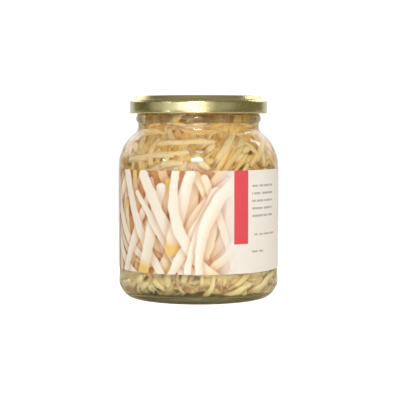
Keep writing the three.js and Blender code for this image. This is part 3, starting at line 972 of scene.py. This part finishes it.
def whole_sprout(bunch, sprout, line_of, random):
    line = line_of(sprout, FINE_STEPS)
    bunch.stem(line, FINE_STEM, stem_share, FINE_SIDES, random(), random, cut=not sprout["headed"])
    if sprout["headed"]:
        pair_of_leaves(bunch, line, random(), FINE_LEAF, HEAD_SPREAD * 0.85, HEAD_REACH)
    return line


ROOT_TOP_Z = 90.0
ROOT_STEPS = 12
ROOT_SIDES = 5
ROOT_CLEARANCE = 0.3


def root_thread(bunch, start, direction, length, radius, random):
    """A thin curling root. It is left out where it would touch the glass."""
    axis = unit(np.array([random() - 0.5, random() - 0.5, random() - 0.5]))
    curl = 0.5 * (random() - 0.5)
    at = [np.array(start, float)]
    for _ in range(ROOT_STEPS):
        direction = unit(direction + curl * np.cross(axis, direction))
        at.append(at[-1] + direction * length / ROOT_STEPS)
    at = np.array(at[::-1])
    if wall_gap(at).min() > ROOT_CLEARANCE + radius and at[:, 2].max() < ROOT_TOP_Z:
        line = {"at": at, "away": np.broadcast_to(axis, at.shape)}
        bunch.stem(line, (radius, radius), root_share, ROOT_SIDES, 0.5 * random(), random, cut=False)


def outer_sprouts(material):
    """One fine sprout for each solid one, and the roots that trail from them"""
    random = seeded(SEED + 10)
    wall = place_layer(draw_on_wall, wall_line, fits_wall, OUTER_SPROUTS, seeded(SEED))
    low = place_layer(draw_on_floor, floor_line, fits_floor, FLOOR_SPROUTS, seeded(SEED + 1))
    roots = Bunch()
    for kind, sprouts, line_of in (("sprout", wall, wall_line), ("floor_sprout", low, floor_line)):
        for i, sprout in enumerate(sprouts, 1):
            bunch = Bunch()
            line = whole_sprout(bunch, sprout, line_of, random)
            node = f"{kind}_{i:02d}"
            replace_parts(bunch.piece("fine_" + node, material), node)
            back = -tangents(line["at"])[0]
            root_thread(roots, line["at"][0], back, 6 + 8 * random(), 0.4, random)
    return roots


# Where bare glass shows the contents: spans of the wall's length, azimuths in degrees, shares of the bits
SHOWN = [
    ((45.0, 77.0), (-180.0, 180.0), 0.52), ((77.0, 81.0), (-180.0, 180.0), 0.1),
    ((-14.0, 11.0), (-180.0, 180.0), 0.32), ((8.0, 50.0), (-84.0, -70.0), 0.06),
]
BIT_TRIES = 2400
BIT_DEPTHS = (1.35, 2.6)
BIT_LENGTHS = (28.0, 8.0)
BIT_OVERLAP = 0.7
BIT_THICKNESS = 1.05
BIT_SIDES = 8
BIT_GAP = 0.12
LOWEST_BIT_UP = -20
HIGHEST_BIT_UP = 78
HIGHEST_LEVEL_UP = 81
CURLED_SHARE = 0.3
FREE_THREADS = 900
NECK_UP = 78.0


def flow(azimuth, up):
    """The heading that neighbouring sprouts share, as they lie in bundles"""
    return 0.9 * math.sin(4 * azimuth + 0.09 * up) + 0.8 * math.sin(7 * azimuth - 0.13 * up + 1.0)


def draw_bit(random, tightness, depths, lengths):
    pick = random()
    ups, azimuths, share = SHOWN[0]
    for zone in SHOWN:
        ups, azimuths, share = zone
        if pick < share:
            break
        pick -= share
    azimuth = math.radians(between(random, *azimuths))
    up = between(random, *ups)
    level = ups[0] > NECK_UP - 2
    length = (lengths[0] + (lengths[1] - lengths[0]) * math.sqrt(tightness)) * (0.55 + 0.45 * random())
    curled = random() < CURLED_SHARE
    return {
        "azimuth": azimuth, "up": up,
        "heading": 0.5 * (random() - 0.5) if level else flow(azimuth, up) + 2.0 * (random() - 0.5),
        "bend": (random() - 0.5) * 0.1,
        "depth": between(random, *depths),
        "length": length,
        "hook": 9.0 * (random() - 0.5) if curled else 0.0,
        "wander": 0.7 * (random() - 0.5),
        "width": 1.1 + 0.9 * random() - 0.3 * tightness,
        "headed": not curled and random() < 0.4,
        "level": level,
    }


def sprout_bits(material, roots):
    """Short lengths, curled tops and seed leaves pressed between the outer sprouts, where glass shows them"""
    random = seeded(SEED + 11)
    bunch, taken = Bunch(), NO_ROOM
    for tried in range(BIT_TRIES):
        bit = draw_bit(random, tried / BIT_TRIES, BIT_DEPTHS, BIT_LENGTHS)
        line = wall_line(bit, 20 if bit["hook"] else 12)
        highest = HIGHEST_LEVEL_UP if bit["level"] else HIGHEST_BIT_UP
        if line["up"].min() < LOWEST_BIT_UP or line["up"].max() > highest:
            continue
        at, width = line["at"], bit["width"]
        radius = np.full(len(at), width)
        if wall_gap(at).min() < BIT_THICKNESS + BIT_GAP or not apart((at, radius), taken, -BIT_OVERLAP):
            continue
        taken = with_room(taken, (at, radius))
        thickness = min(width, BIT_THICKNESS)
        bunch.stem(line, (width, thickness), even_share, BIT_SIDES, random(), random, cut=not bit["headed"])
        leaf_tips = at[-1] + np.array([[2.0], [4.5]]) * tangents(at)[-1]
        if bit["headed"] and wall_gap(leaf_tips).min() > BIT_THICKNESS:
            half = (1.6 + 0.8 * random(), 2.8 + 1.6 * random(), BIT_THICKNESS)
            pair_of_leaves(bunch, line, random(), half, half[0] * 0.7, 1.2, 0.35 * random())
        if random() < 0.6:
            back = -tangents(at)[0]
            root_thread(roots, at[0], back, 4 + 7 * random(), 0.12 + 0.2 * random(), random)
    for _ in range(FREE_THREADS):
        bit = draw_bit(random, 0.5, (0.8, 1.6), (4.0, 4.0))
        at = wall_line(bit, 4)["at"]
        root_thread(roots, at[2], tangents(at)[2], 5 + 9 * random(), 0.1 + 0.14 * random(), random)
    bunch.piece("sprout_bits", material)
    roots.piece("sprout_roots", material)


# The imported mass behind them

MASS_COLUMNS = 520
MASS_UPS = (-40.0, 86.5)
MASS_FINE_FROM = -14.0
MASS_STEPS = (1.7, 0.7)
MASS_DEPTH = 4.6
MASS_STRANDS = 860
NECK_STRANDS = 110
MASS_LEAVES = 260
STRAND_WIDTHS = (0.9, 2.5)
STRAND_LEVELS = (0.3, 2.0)
STRAND_PLUMP = 0.55
LEAF_PLUMP = 0.5
LEAF_GOLD = 0.75
NECK_PRESS = 0.35
# Painted shade under the lid: how brown the neck of the mass is painted
NECK_PAINTED_SHADE = 0.9
MASS_TOP = 94.0
# Rings that close the mass at the top: their share of its radius, and of the rise to its top
CAP_RINGS = ((0.9, 0.5), (0.6, 0.9), (0.3, 1.0))
CAP_TONE = 0.3


class Relief:
    """Heights over the cavity wall, stamped with strands and leaves, each over what lies lower"""

    def __init__(self):
        coarse = np.arange(MASS_UPS[0], MASS_FINE_FROM, MASS_STEPS[0])
        self.ups = np.concatenate([coarse, np.arange(MASS_FINE_FROM, MASS_UPS[1], MASS_STEPS[1])])
        self.turns = np.linspace(-math.pi, math.pi, MASS_COLUMNS, endpoint=False)
        self.wall = np.array([wall_at(up) for up in self.ups])
        shape = (len(self.ups), MASS_COLUMNS)
        self.height, self.tone, self.leaf, self.across, self.along = (np.zeros(shape) for _ in range(5))

    def stamp(self, azimuths, ups, half, level, plump, tone, leaf, cup=0.0):
        """Raises a strand along points given by azimuth and length up the wall. half: its half widths"""
        margin = max(half) + MASS_STEPS[0]
        rows = np.flatnonzero((self.ups > min(ups) - margin) & (self.ups < max(ups) + margin))
        radius = max(6.0, float(np.interp(np.mean(ups), self.ups, self.wall[:, 0])))
        middle = np.mean(azimuths)
        off = (self.turns - middle + math.pi) % (2 * math.pi) - math.pi
        reach = np.abs(np.array(azimuths) - middle).max() + margin / radius
        columns = np.flatnonzero(np.abs(off) < reach)
        if not len(rows) or not len(columns):
            return
        x = (off[columns] * radius)[None, :]
        y = self.ups[rows][:, None]
        px, py = (np.array(azimuths) - middle) * radius, np.array(ups)
        best = np.full((len(rows), len(columns)), 9.0)
        side, gone = np.zeros_like(best), np.zeros_like(best)
        length = 0.0
        for i in range(len(px) - 1):
            dx, dy = px[i + 1] - px[i], py[i + 1] - py[i]
            size = math.hypot(dx, dy)
            share = np.clip(((x - px[i]) * dx + (y - py[i]) * dy) / size ** 2, 0, 1)
            ex, ey = x - px[i] - share * dx, y - py[i] - share * dy
            width = half[i] + (half[i + 1] - half[i]) * share
            away = np.hypot(ex, ey) / width
            nearer = away < best
            best = np.where(nearer, away, best)
            side = np.where(nearer, (ex * dy - ey * dx) / (size * width), side)
            gone = np.where(nearer, length + share * size, gone)
            length += size
        dome = np.sqrt(np.clip(1 - best ** 2, 0, 1))
        raised = level + plump * max(half) * (dome - cup * dome ** 3)
        window = np.ix_(rows, columns)
        over = (best < 1) & (raised > self.height[window])
        grids = (self.height, self.tone, self.leaf, self.across, self.along)
        for grid, value in zip(grids, (raised, tone, leaf, 0.5 + 0.5 * side, gone)):
            grid[window] = np.where(over, value, grid[window])


def mass_relief():
    random = seeded(SEED + 13)
    relief = Relief()
    for i in range(MASS_STRANDS + NECK_STRANDS):
        low = MASS_UPS[0] if i < MASS_STRANDS else NECK_UP - 3
        up = between(random, low, MASS_UPS[1] + 1.5)
        level = up > NECK_UP - 1
        azimuth = 2 * math.pi * random() - math.pi
        strand = {
            "azimuth": azimuth, "up": up, "depth": 0.0,
            "heading": 0.2 * (random() - 0.5) if level else flow(azimuth, up) + 1.8 * (random() - 0.5),
            "bend": (0.015 if level else 0.07) * (random() - 0.5),
            "length": (34 if level else 14) + 28 * random(),
            "hook": 5.0 * (random() - 0.5) if not level and random() < 0.2 else 0.0,
            "wander": 0.7 * (random() - 0.5),
        }
        line = wall_line(strand, 16)
        azimuths = np.unwrap(np.arctan2(line["at"][:, 0], -line["at"][:, 1]))
        width = STRAND_WIDTHS[0] + (STRAND_WIDTHS[1] - STRAND_WIDTHS[0]) * random() ** 1.6
        share = 0.55 if level or strand["hook"] else 1.0
        half = share * width * pointed_share(np.linspace(0, 1, len(azimuths)))
        rise = between(random, *STRAND_LEVELS)
        tone = 0.3 + 0.3 * random() if level else random()
        relief.stamp(azimuths, line["up"], half, rise, STRAND_PLUMP, tone, 0.0)
    for _ in range(MASS_LEAVES):
        up = between(random, MASS_UPS[0], NECK_UP)
        azimuth = 2 * math.pi * random() - math.pi
        heading = 2 * math.pi * random()
        radius = max(6.0, wall_at(up)[0])
        reach, width = 1.2 + 2.2 * random(), 1.7 + 1.5 * random()
        steps = np.linspace(-1, 1, 5)
        azimuths = azimuth + steps * reach * math.cos(heading) / radius
        ups = up + steps * reach * math.sin(heading)
        cup = 0.9 * random() if random() < 0.5 else 0.0
        half = width * (1 - 0.35 * steps ** 2)
        relief.stamp(azimuths, ups, half, 0.8 + 1.1 * random(), LEAF_PLUMP, random(), LEAF_GOLD, cup)
    return relief


def packed_mass(material):
    """The sprouts pressed together behind the outer ones, closed over the floor and under the lid"""
    relief = mass_relief()
    turn = relief.turns[None, :]
    r, z, in_r, in_z = (column[:, None] for column in relief.wall.T)
    in_neck = smooth_rise(z, 83.0, 88.0)
    depth = (MASS_DEPTH - np.minimum(relief.height, MASS_DEPTH - 1.25)) * (1 - NECK_PRESS * in_neck)
    across, height = np.maximum(r + in_r * depth, 0.5), z + in_z * depth
    points = np.stack([across * np.sin(turn), -across * np.cos(turn), height + 0 * turn], axis=-1)
    top = MASS_TOP - points[-1, :, 2].mean()
    cap = [points[-1] * (share, share, 1) + (0, 0, top * rise) for share, rise in CAP_RINGS]
    points = np.concatenate([points, cap])
    rows, columns = points.shape[:2]
    bunch = Bunch()
    bunch.grid(points, np.zeros((rows, columns, 2)), 0.5, 0.0, 0.0)
    made = bunch.piece("packed_sprouts", material)
    # Painted shade: the tip attribute browns the deep pits of the mass and the neck under the lid
    painted_pit_shade = np.maximum(smooth_rise(depth, 3.3, 4.5), NECK_PAINTED_SHADE * in_neck)
    rest = len(CAP_RINGS) * columns + 2
    for key, grid in (("tone", relief.tone), ("leaf", relief.leaf), ("tip", painted_pit_shade)):
        values = np.concatenate([grid.reshape(-1), np.full(rest, CAP_TONE)])
        made.data.attributes[key].data.foreach_set("value", values)
    uv = np.stack([relief.across.reshape(-1), relief.along.reshape(-1)], axis=1)
    give_uv(made.data, np.concatenate([uv, np.zeros((rest, 2))]))


# Short sprouts that cross the stems of the tangle
CROSSINGS = 40
CROSSING_DEPTH = 6.8
CROSSING_LENGTHS = (14, 30)
CROSSING_HALF_WIDTH = 1.8
CROSSING_LEAF = (1.6, 3.0, 1.3)
TANGLE_SIDES = 8


def fine_tangle(material):
    """The solids' tangle with finer stems, and short sprouts across them"""
    random = seeded(SEED + 12)
    bunch = Bunch()
    for sprout in tangle_stems():
        bunch.stem(wall_line(sprout, 28), FINE_STEM, stem_share, TANGLE_SIDES, random(), random, cut=True)
    made = 0
    while made < CROSSINGS:
        sprout = {
            "azimuth": 2 * math.pi * random(), "up": between(random, *LAYER_SPAN),
            "heading": 2 * math.pi * random(), "bend": (random() - 0.5) * 0.09,
            "depth": CROSSING_DEPTH + 2.2 * (random() - 0.5), "length": between(random, *CROSSING_LENGTHS),
            "hook": 0.0, "wander": 0.7 * (random() - 0.5),
        }
        line = wall_line(sprout, 14)
        if line["up"].min() < LAYER_SPAN[0] or line["up"].max() > LAYER_SPAN[1]:
            continue
        half = CROSSING_HALF_WIDTH * (0.7 + 0.45 * random())
        bunch.stem(line, (half, half * 0.85), stem_share, TANGLE_SIDES, random(), random, cut=True)
        if random() < 0.4:
            pair_of_leaves(bunch, line, random(), CROSSING_LEAF, 1.2, 1.5)
        made += 1
    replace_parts(bunch.piece("fine_tangle", material), "sprout_tangle")


def contents():
    outer = sprout_material("outer_flesh", *OUTER_FLESH)
    # Painted shade: the deeper mass and tangle take the darker copy
    middle = sprout_material("shaded_deep_flesh", *SHADED_DEEP_FLESH)
    sprout_bits(outer, outer_sprouts(outer))
    packed_mass(middle)
    fine_tangle(middle)


# Label

PICTURE_END = 22.0
TAB_SPAN = (25.1, 36.5)
TAB_FOOT_Z = 29.2
CORAL = (222, 78, 84)
CREAM = (241, 233, 221)
INK = (96, 84, 66)


def label_x(azimuth):
    """Distance along the paper from its left end to an azimuth in degrees, in millimetres"""
    return math.radians(azimuth - LABEL_START) * (LABEL_RADIUS + LABEL_PAPER)


def box_mask(t, x, z, x_span, z_span, soft=0.12):
    """1 inside a rectangle of the paper"""
    x_edges, z_edges = ([(end - soft, end + soft) for end in span] for span in (x_span, z_span))
    return t.times(t.band(x, *x_edges), t.band(z, *z_edges))


PRINT_LIGHT = (-0.5, 0.87, 0.0)


def stalk_group():
    """Node group that paints one bowed pale stalk over what is under it, with a soft shadow round it"""
    group = bpy.data.node_groups.new("stalk", "ShaderNodeTree")
    face = group.interface
    for name, kind in (("Under", "Color"), ("Place", "Vector"), ("Start", "Vector"), ("Axis", "Vector"),
                       ("Share", "Vector"), ("Bow", "Vector"), ("Half", "Float"), ("Light", "Color"),
                       ("Dark", "Color"), ("Tip", "Color")):
        face.new_socket(name, in_out="INPUT", socket_type="NodeSocket" + kind)
    face.new_socket("Painted", in_out="OUTPUT", socket_type="NodeSocketColor")
    t = Tree(group)
    given = t.node("NodeGroupInput").outputs
    offset = t.vector("SUBTRACT", given["Place"], given["Start"])
    along = t.math("ADD", t.vector("DOT_PRODUCT", offset, given["Share"]), 0.0, clamp=True)
    arch = t.times(along, t.math("SUBTRACT", 1.0, along))
    middle = t.vector("ADD", t.scaled(given["Axis"], along), t.scaled(given["Bow"], arch))
    away = t.vector("SUBTRACT", offset, middle)
    taper = t.times(given["Half"], t.step(along, 0.0, 0.5, (0.72, 1.0)))
    reach = t.math("DIVIDE", t.vector("LENGTH", away), taper)
    side = t.math("DIVIDE", t.vector("DOT_PRODUCT", away, PRINT_LIGHT), taper)
    shadow = t.step(reach, 0.8, 2.2, (0.5, 0.0))
    under = t.mix(shadow, given["Under"], rgba((204, 150, 92)), "MULTIPLY")
    flesh = t.mix(t.step(side, 0.35, -1.0), given["Light"], given["Dark"])
    flesh = t.mix(t.step(along, 0.84, 0.99), flesh, given["Tip"])
    painted = t.mix(t.step(reach, 0.78, 1.12, (1.0, 0.0)), under, flesh)
    t.node("NodeGroupOutput", {"Painted": painted})
    return group


def paint_stalk(t, group, under, place, start, end, bow, half, light, dark, tip):
    axis = (end[0] - start[0], end[1] - start[1], 0.0)
    size = axis[0] ** 2 + axis[1] ** 2
    inputs = {"Under": under, "Place": place, "Start": (*start, 0.0), "Axis": axis, "Half": half,
              "Share": tuple(a / size for a in axis), "Bow": (-bow * axis[1], bow * axis[0], 0.0),
              "Light": rgba(light), "Dark": rgba(dark), "Tip": rgba(tip)}
    return t.node("ShaderNodeGroup", inputs, node_tree=group).outputs[0]


# Layers of the printed sheaf, from the back: number of stalks, half widths, light side, dark side
SHEAF = [
    (15, (1.4, 2.6), (232, 198, 150), (208, 160, 106)),
    (15, (1.6, 3.0), (242, 222, 188), (228, 194, 148)),
    (13, (1.8, 3.6), (248, 238, 218), (236, 214, 180)),
]
GOLDEN_TIP = (238, 200, 112)


def picture(t, place, width):
    """A loose sheaf of bowed pale stalks, some with golden tips, over a warm brown ground"""
    cloud = t.noise(place, 0.11, 3.0)
    colour = t.ramp(cloud, (0.3, (176, 116, 58)), (0.5, (210, 156, 96)), (0.7, (230, 192, 140)))
    group = stalk_group()
    random = seeded(SEED + 40)
    low, high = LABEL_Z[0] - 8, LABEL_Z[1] + 8
    for count, halves, light, dark in SHEAF:
        for i in range(count):
            foot = width * (i + 0.2 + 0.6 * random()) / count
            lean = (1 if random() < 0.5 else -1) * (8 + 26 * random())
            start, end = (foot - lean / 2, low + 22 * random()), (foot + lean / 2, high - 24 * random())
            if random() < 0.5:
                start, end = end, start
            half = between(random, *halves)
            tip = GOLDEN_TIP if random() < 0.5 else light
            bow = 1.8 * (random() - 0.5)
            colour = paint_stalk(t, group, colour, place, start, end, bow, half, light, dark, tip)
    return colour


def rule_blocks(t, x, z, paper, ink, blocks):
    """Blocks of broken rules that stand where a label has small print"""
    for left, right, top, rows, pitch in blocks:
        down = t.math("DIVIDE", t.math("SUBTRACT", top, z), pitch)
        row = t.math("FRACT", down)
        bar = t.band(row, (0.02, 0.1), (0.3, 0.38))
        spot = t.joined(x, t.times(t.math("FLOOR", down), 7.3))
        word = t.step(t.noise(spot, 0.55, 0.0), 0.38, 0.4)
        mask = box_mask(t, x, z, (label_x(left), label_x(right)), (top - rows * pitch, top), 0.1)
        mask = t.times(mask, t.times(bar, word))
        paper = t.mix(t.times(mask, 0.5), paper, ink)
    return paper


# Blocks of small print: left and right end in degrees, top row, rows, pitch
PRINT_BLOCKS = [
    (40, 64, 57.5, 5, 3.6), (40, 52, 26.0, 1, 3.6), (42, 68, 34.0, 1, 3.0), (82, 130, 60.0, 11, 3.4),
    (140, 190, 60.0, 6, 3.4), (238, 272, 60.0, 8, 3.4),
]


def label_material():
    material, t = new_material("printed_paper")
    flat = t.uv()
    wobble = t.noise(flat, 0.12, output="Color")
    place = t.vector("ADD", flat, t.scaled(t.vector("SUBTRACT", wobble, (0.5, 0.5, 0.5)), 2.0))
    place = t.vector("MULTIPLY", place, (1.0, 1.0, 0.0))
    x, z, _ = t.parts(flat)
    fibre = t.noise(flat, 3.0, 4.0)
    dim = tuple(c - 6 for c in CREAM)
    paper = t.mix(t.step(fibre, 0.3, 0.7, (0.0, 0.7)), rgba(CREAM), rgba(dim))
    edge = label_x(PICTURE_END)
    fade = t.step(x, edge - 12.0, edge + 5.0, (1.0, 0.0))
    colour = t.mix(fade, paper, picture(t, place, edge))
    for start, end, foot in ((*TAB_SPAN, TAB_FOOT_Z), (204, 228, LABEL_Z[0] - 1)):
        tab = box_mask(t, x, z, (label_x(start), label_x(end)), (foot, LABEL_Z[1] + 1))
        colour = t.mix(tab, colour, rgba(CORAL))
    printed = rule_blocks(t, x, z, colour, rgba(INK), PRINT_BLOCKS)
    cockle = t.noise(flat, 0.05, 2.0)
    grain = t.noise(flat, 6.0, 2.0)
    height = t.math("ADD", t.times(cockle, 12.0), t.times(grain, 0.12))
    inputs = {"Base Color": printed, "Roughness": t.step(fibre, 0.3, 0.7, (0.42, 0.52)),
              "Specular IOR Level": 0.4, "Normal": t.bump(height, 0.00006, 0.6)}
    surface(t, t.shader(inputs))
    return material


def paper_material():
    material, t = new_material("paper_back")
    fibre = t.noise(t.place(), 900.0, 4.0)
    colour = t.ramp(fibre, (0.3, (226, 218, 202)), (0.7, (240, 234, 222)))
    surface(t, t.shader({"Base Color": colour, "Roughness": 0.7}))
    return material


LABEL_COLUMNS = 480
LABEL_ROWS = 24
SHEET_INSET = 0.04


def paper_label():
    """The sheet as a thin closed shell, with its print outside. UV is in millimetres on the paper."""
    azimuth = np.radians(LABEL_START + LABEL_SWEEP * np.linspace(0, 1, LABEL_COLUMNS + 1))
    height = np.linspace(*LABEL_Z, LABEL_ROWS + 1)
    turn, z = np.meshgrid(azimuth, height, indexing="ij")
    cockle = 0.035 * np.sin(5 * turn + z / 9) * np.sin(z / 6 + 2 * turn)
    sheets = []
    for lift in (SHEET_INSET, LABEL_PAPER - SHEET_INSET):
        radius = LABEL_RADIUS + lift + cockle
        sheets.append(np.stack([radius * np.sin(turn), -radius * np.cos(turn), z], axis=-1).reshape(-1, 3))
    verts = np.concatenate(sheets)
    columns, rows = LABEL_COLUMNS + 1, LABEL_ROWS + 1
    outer = columns * rows

    def at(i, j, layer):
        return layer * outer + i * rows + j

    faces, slots = [], []
    for i in range(LABEL_COLUMNS):
        for j in range(LABEL_ROWS):
            faces.append((at(i, j, 1), at(i + 1, j, 1), at(i + 1, j + 1, 1), at(i, j + 1, 1)))
            faces.append((at(i, j + 1, 0), at(i + 1, j + 1, 0), at(i + 1, j, 0), at(i, j, 0)))
            slots += [0, 1]
    rim = [(i, 0) for i in range(LABEL_COLUMNS)] + [(LABEL_COLUMNS, j) for j in range(LABEL_ROWS)]
    rim += [(i, LABEL_ROWS) for i in range(LABEL_COLUMNS, 0, -1)] + [(0, j) for j in range(LABEL_ROWS, 0, -1)]
    for (i, j), (k, m) in zip(rim, rim[1:] + rim[:1]):
        faces.append((at(i, j, 0), at(k, m, 0), at(k, m, 1), at(i, j, 1)))
        slots.append(1)
    label = make_object("printed_label", verts, faces, [label_material(), paper_material()], slots)
    along = (turn - azimuth[0]).reshape(-1) * (LABEL_RADIUS + LABEL_PAPER)
    give_uv(label.data, np.tile(np.stack([along, z.reshape(-1)], axis=1), (2, 1)))
    label.data.set_sharp_from_angle(angle=math.radians(40))
    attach(label, "jar")
    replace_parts(label, "label")


# Studio

LAMP_TARGET = (0, 0, 80)
LAMP_DISTANCE = 1500


def aim(made, at, target):
    made.location = [c * MM for c in at]
    towards = [b - a for a, b in zip(at, target)]
    made.rotation_euler = Vector(towards).to_track_quat("-Z", "Y").to_euler()


def around(azimuth, elevation, distance, centre):
    """A place round a centre, in millimetres"""
    a, e = math.radians(azimuth), math.radians(elevation)
    away = (math.sin(a) * math.cos(e), -math.cos(a) * math.cos(e), math.sin(e))
    return [c + distance * d for c, d in zip(centre, away)]


def fade_edges(lamp, span):
    """Fades a lamp out towards its edges, over a share of its width and height"""
    t = new_tree(lamp)
    across, up, _ = t.parts(t.node("ShaderNodeNewGeometry").outputs["Parametric"])
    edges = (0.0, span), (1.0 - span, 1.0)
    fade = t.times(t.band(across, *edges), t.band(up, *edges))
    light = t.node("ShaderNodeEmission", {"Strength": fade}).outputs[0]
    t.node("ShaderNodeOutputLight", {"Surface": light})


def softbox(name, azimuth, elevation, size, radiance, tint=(1, 1, 1), casts_shadow=True, mirrored=True):
    """An area lamp that looks like a panel of the given size in millimetres and radiance"""
    lamp = bpy.data.lights.new(name, "AREA")
    lamp.shape = "RECTANGLE"
    lamp.size, lamp.size_y = size[0] * MM, size[1] * MM
    lamp.energy = radiance * math.pi * lamp.size * lamp.size_y
    lamp.color = tint
    lamp.use_shadow = casts_shadow
    made = add_object(name, lamp)
    made.visible_glossy = made.visible_transmission = mirrored
    aim(made, around(azimuth, elevation, LAMP_DISTANCE, LAMP_TARGET), LAMP_TARGET)
    return lamp


# Light from the surround at the height of the horizon, by azimuth in degrees
HORIZON = [
    (-180, (0.8, 0.8, 0.8)), (-142, (0.7, 0.7, 0.7)), (-130, (0.13, 0.13, 0.08)), (-90, (0.11, 0.11, 0.06)),
    (-80, (0.45, 0.48, 0.46)), (-64, (0.5, 0.53, 0.53)), (-54, (0.9, 0.97, 1.25)), (-30, (1.0, 1.08, 1.4)),
    (12, (0.6, 0.63, 0.72)), (28, (0.38, 0.4, 0.4)), (56, (0.38, 0.4, 0.38)), (66, (0.2, 0.19, 0.12)),
    (112, (0.19, 0.18, 0.12)), (130, (0.18, 0.17, 0.14)), (142, (0.7, 0.7, 0.7)), (180, (0.8, 0.8, 0.8)),
]
FRONT_HAZE = 0.2
CEILING = 0.34
BACKDROP = 1.6
PANEL_FADE = 0.5
SEEN_SURROUND = (1.05, 1.045, 1.04, 1.0)
SEEN_FLOOR = (1.0, 0.995, 0.985, 1.0)
FLOOR_HALF = 0.45
FLOOR_DROP = 0.00005


def white_room():
    """A plain surround: banded at the horizon, dark above in front, bright behind, white to the camera"""
    world = bpy.data.worlds.new("white_room")
    bpy.context.scene.world = world
    t = new_tree(world)
    direction = t.node("ShaderNodeTexCoord").outputs["Generated"]
    x, y, z = t.parts(direction)
    azimuth = t.math("DIVIDE", t.math("ARCTAN2", x, t.times(y, -1.0)), 2 * math.pi)
    stops = [(degrees / 360 + 0.5, (*light, 1.0)) for degrees, light in HORIZON]
    band = t.linear_ramp(t.math("ADD", azimuth, 0.5), stops)
    behind = t.times(t.step(y, 0.3, 0.5), t.step(z, 0.45, 0.62, (BACKDROP, 0.0)))
    above = t.step(z, 0.7, 0.95, (FRONT_HAZE, CEILING))
    high = t.math("MAXIMUM", above, behind)
    grey = t.joined(high, high, high)
    colour = t.mix(t.step(z, 0.14, 0.24), band, grey)
    seen = t.node("ShaderNodeLightPath").outputs["Is Camera Ray"]
    colour = t.mix(seen, colour, SEEN_SURROUND)
    background = t.node("ShaderNodeBackground", {"Color": colour})
    t.node("ShaderNodeOutputWorld", {"Surface": background.outputs[0]})


def studio_floor():
    mesh = bpy.data.meshes.new("studio_floor")
    corners = [(x * FLOOR_HALF, y * FLOOR_HALF, -FLOOR_DROP) for x, y in ((-1, -1), (1, -1), (1, 1), (-1, 1))]
    mesh.from_pydata(corners, [], [(0, 1, 2, 3)])
    made = add_object("studio_floor", mesh)
    material, t = new_material("floor_white")
    fine = t.noise(t.place(), 30.0)
    colour = t.ramp(fine, (0.3, (236, 233, 226)), (0.7, (240, 237, 230)))
    matt = t.shader({"Base Color": colour, "Roughness": 0.9})
    seen = t.node("ShaderNodeLightPath").outputs["Is Camera Ray"]
    glow = t.node("ShaderNodeEmission", {"Color": SEEN_FLOOR, "Strength": seen}).outputs[0]
    surface(t, t.node("ShaderNodeAddShader", {0: matt, 1: glow}).outputs[0])
    mesh.materials.append(material)
    made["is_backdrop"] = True


def camera():
    data = bpy.data.cameras.new("camera")
    data.sensor_width = SENSOR_MM
    data.lens = SENSOR_MM * FOCAL_PIXELS / PHOTO_SIZE
    data.clip_start, data.clip_end = 0.05, 50
    made = add_object("camera", data)
    made.location = [c * MM for c in EYE]
    dip = math.atan((PHOTO_SIZE / 2 - HORIZON_ROW) / FOCAL_PIXELS)
    swing = math.atan((PHOTO_SIZE / 2 - JAR_COLUMN) / FOCAL_PIXELS)
    made.rotation_euler = (math.pi / 2 - dip, 0.0, -swing)
    bpy.context.scene.camera = made


def studio():
    camera()
    white_room()
    studio_floor()
    panel = softbox("front_panel", -9, 1, (1900, 1000), 3.0, (0.97, 1.0, 1.15), casts_shadow=False)
    fade_edges(panel, PANEL_FADE)
    softbox("key", -2, 24, (360, 290), 23.5, (1.0, 0.98, 0.93))
    softbox("left_window", -52, 19, (90, 110), 24.0)
    softbox("right_window", 126, 35, (220, 330), 4.5)
    softbox("right_fill", 62, 12, (700, 500), 6.0, mirrored=False)
    softbox("left_fill", -66, 16, (500, 400), 3.2, (1.0, 0.96, 0.86), mirrored=False)
    softbox("back_fill", 178, 22, (1000, 600), 2.6, mirrored=False)
    scene = bpy.context.scene
    scene.view_settings.view_transform = "Standard"
    scene.cycles.max_bounces = 16
    scene.cycles.transmission_bounces = 12
    scene.cycles.transparent_max_bounces = 24
    scene.cycles.diffuse_bounces = 8
    scene.cycles.caustics_reflective = False
    scene.cycles.caustics_refractive = False


studio()
glass_jar()
brine_body()
lid()
lid_seal()
paper_label()
contents()

[[list(corner) for corner in box] for box in (cad_box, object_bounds())]
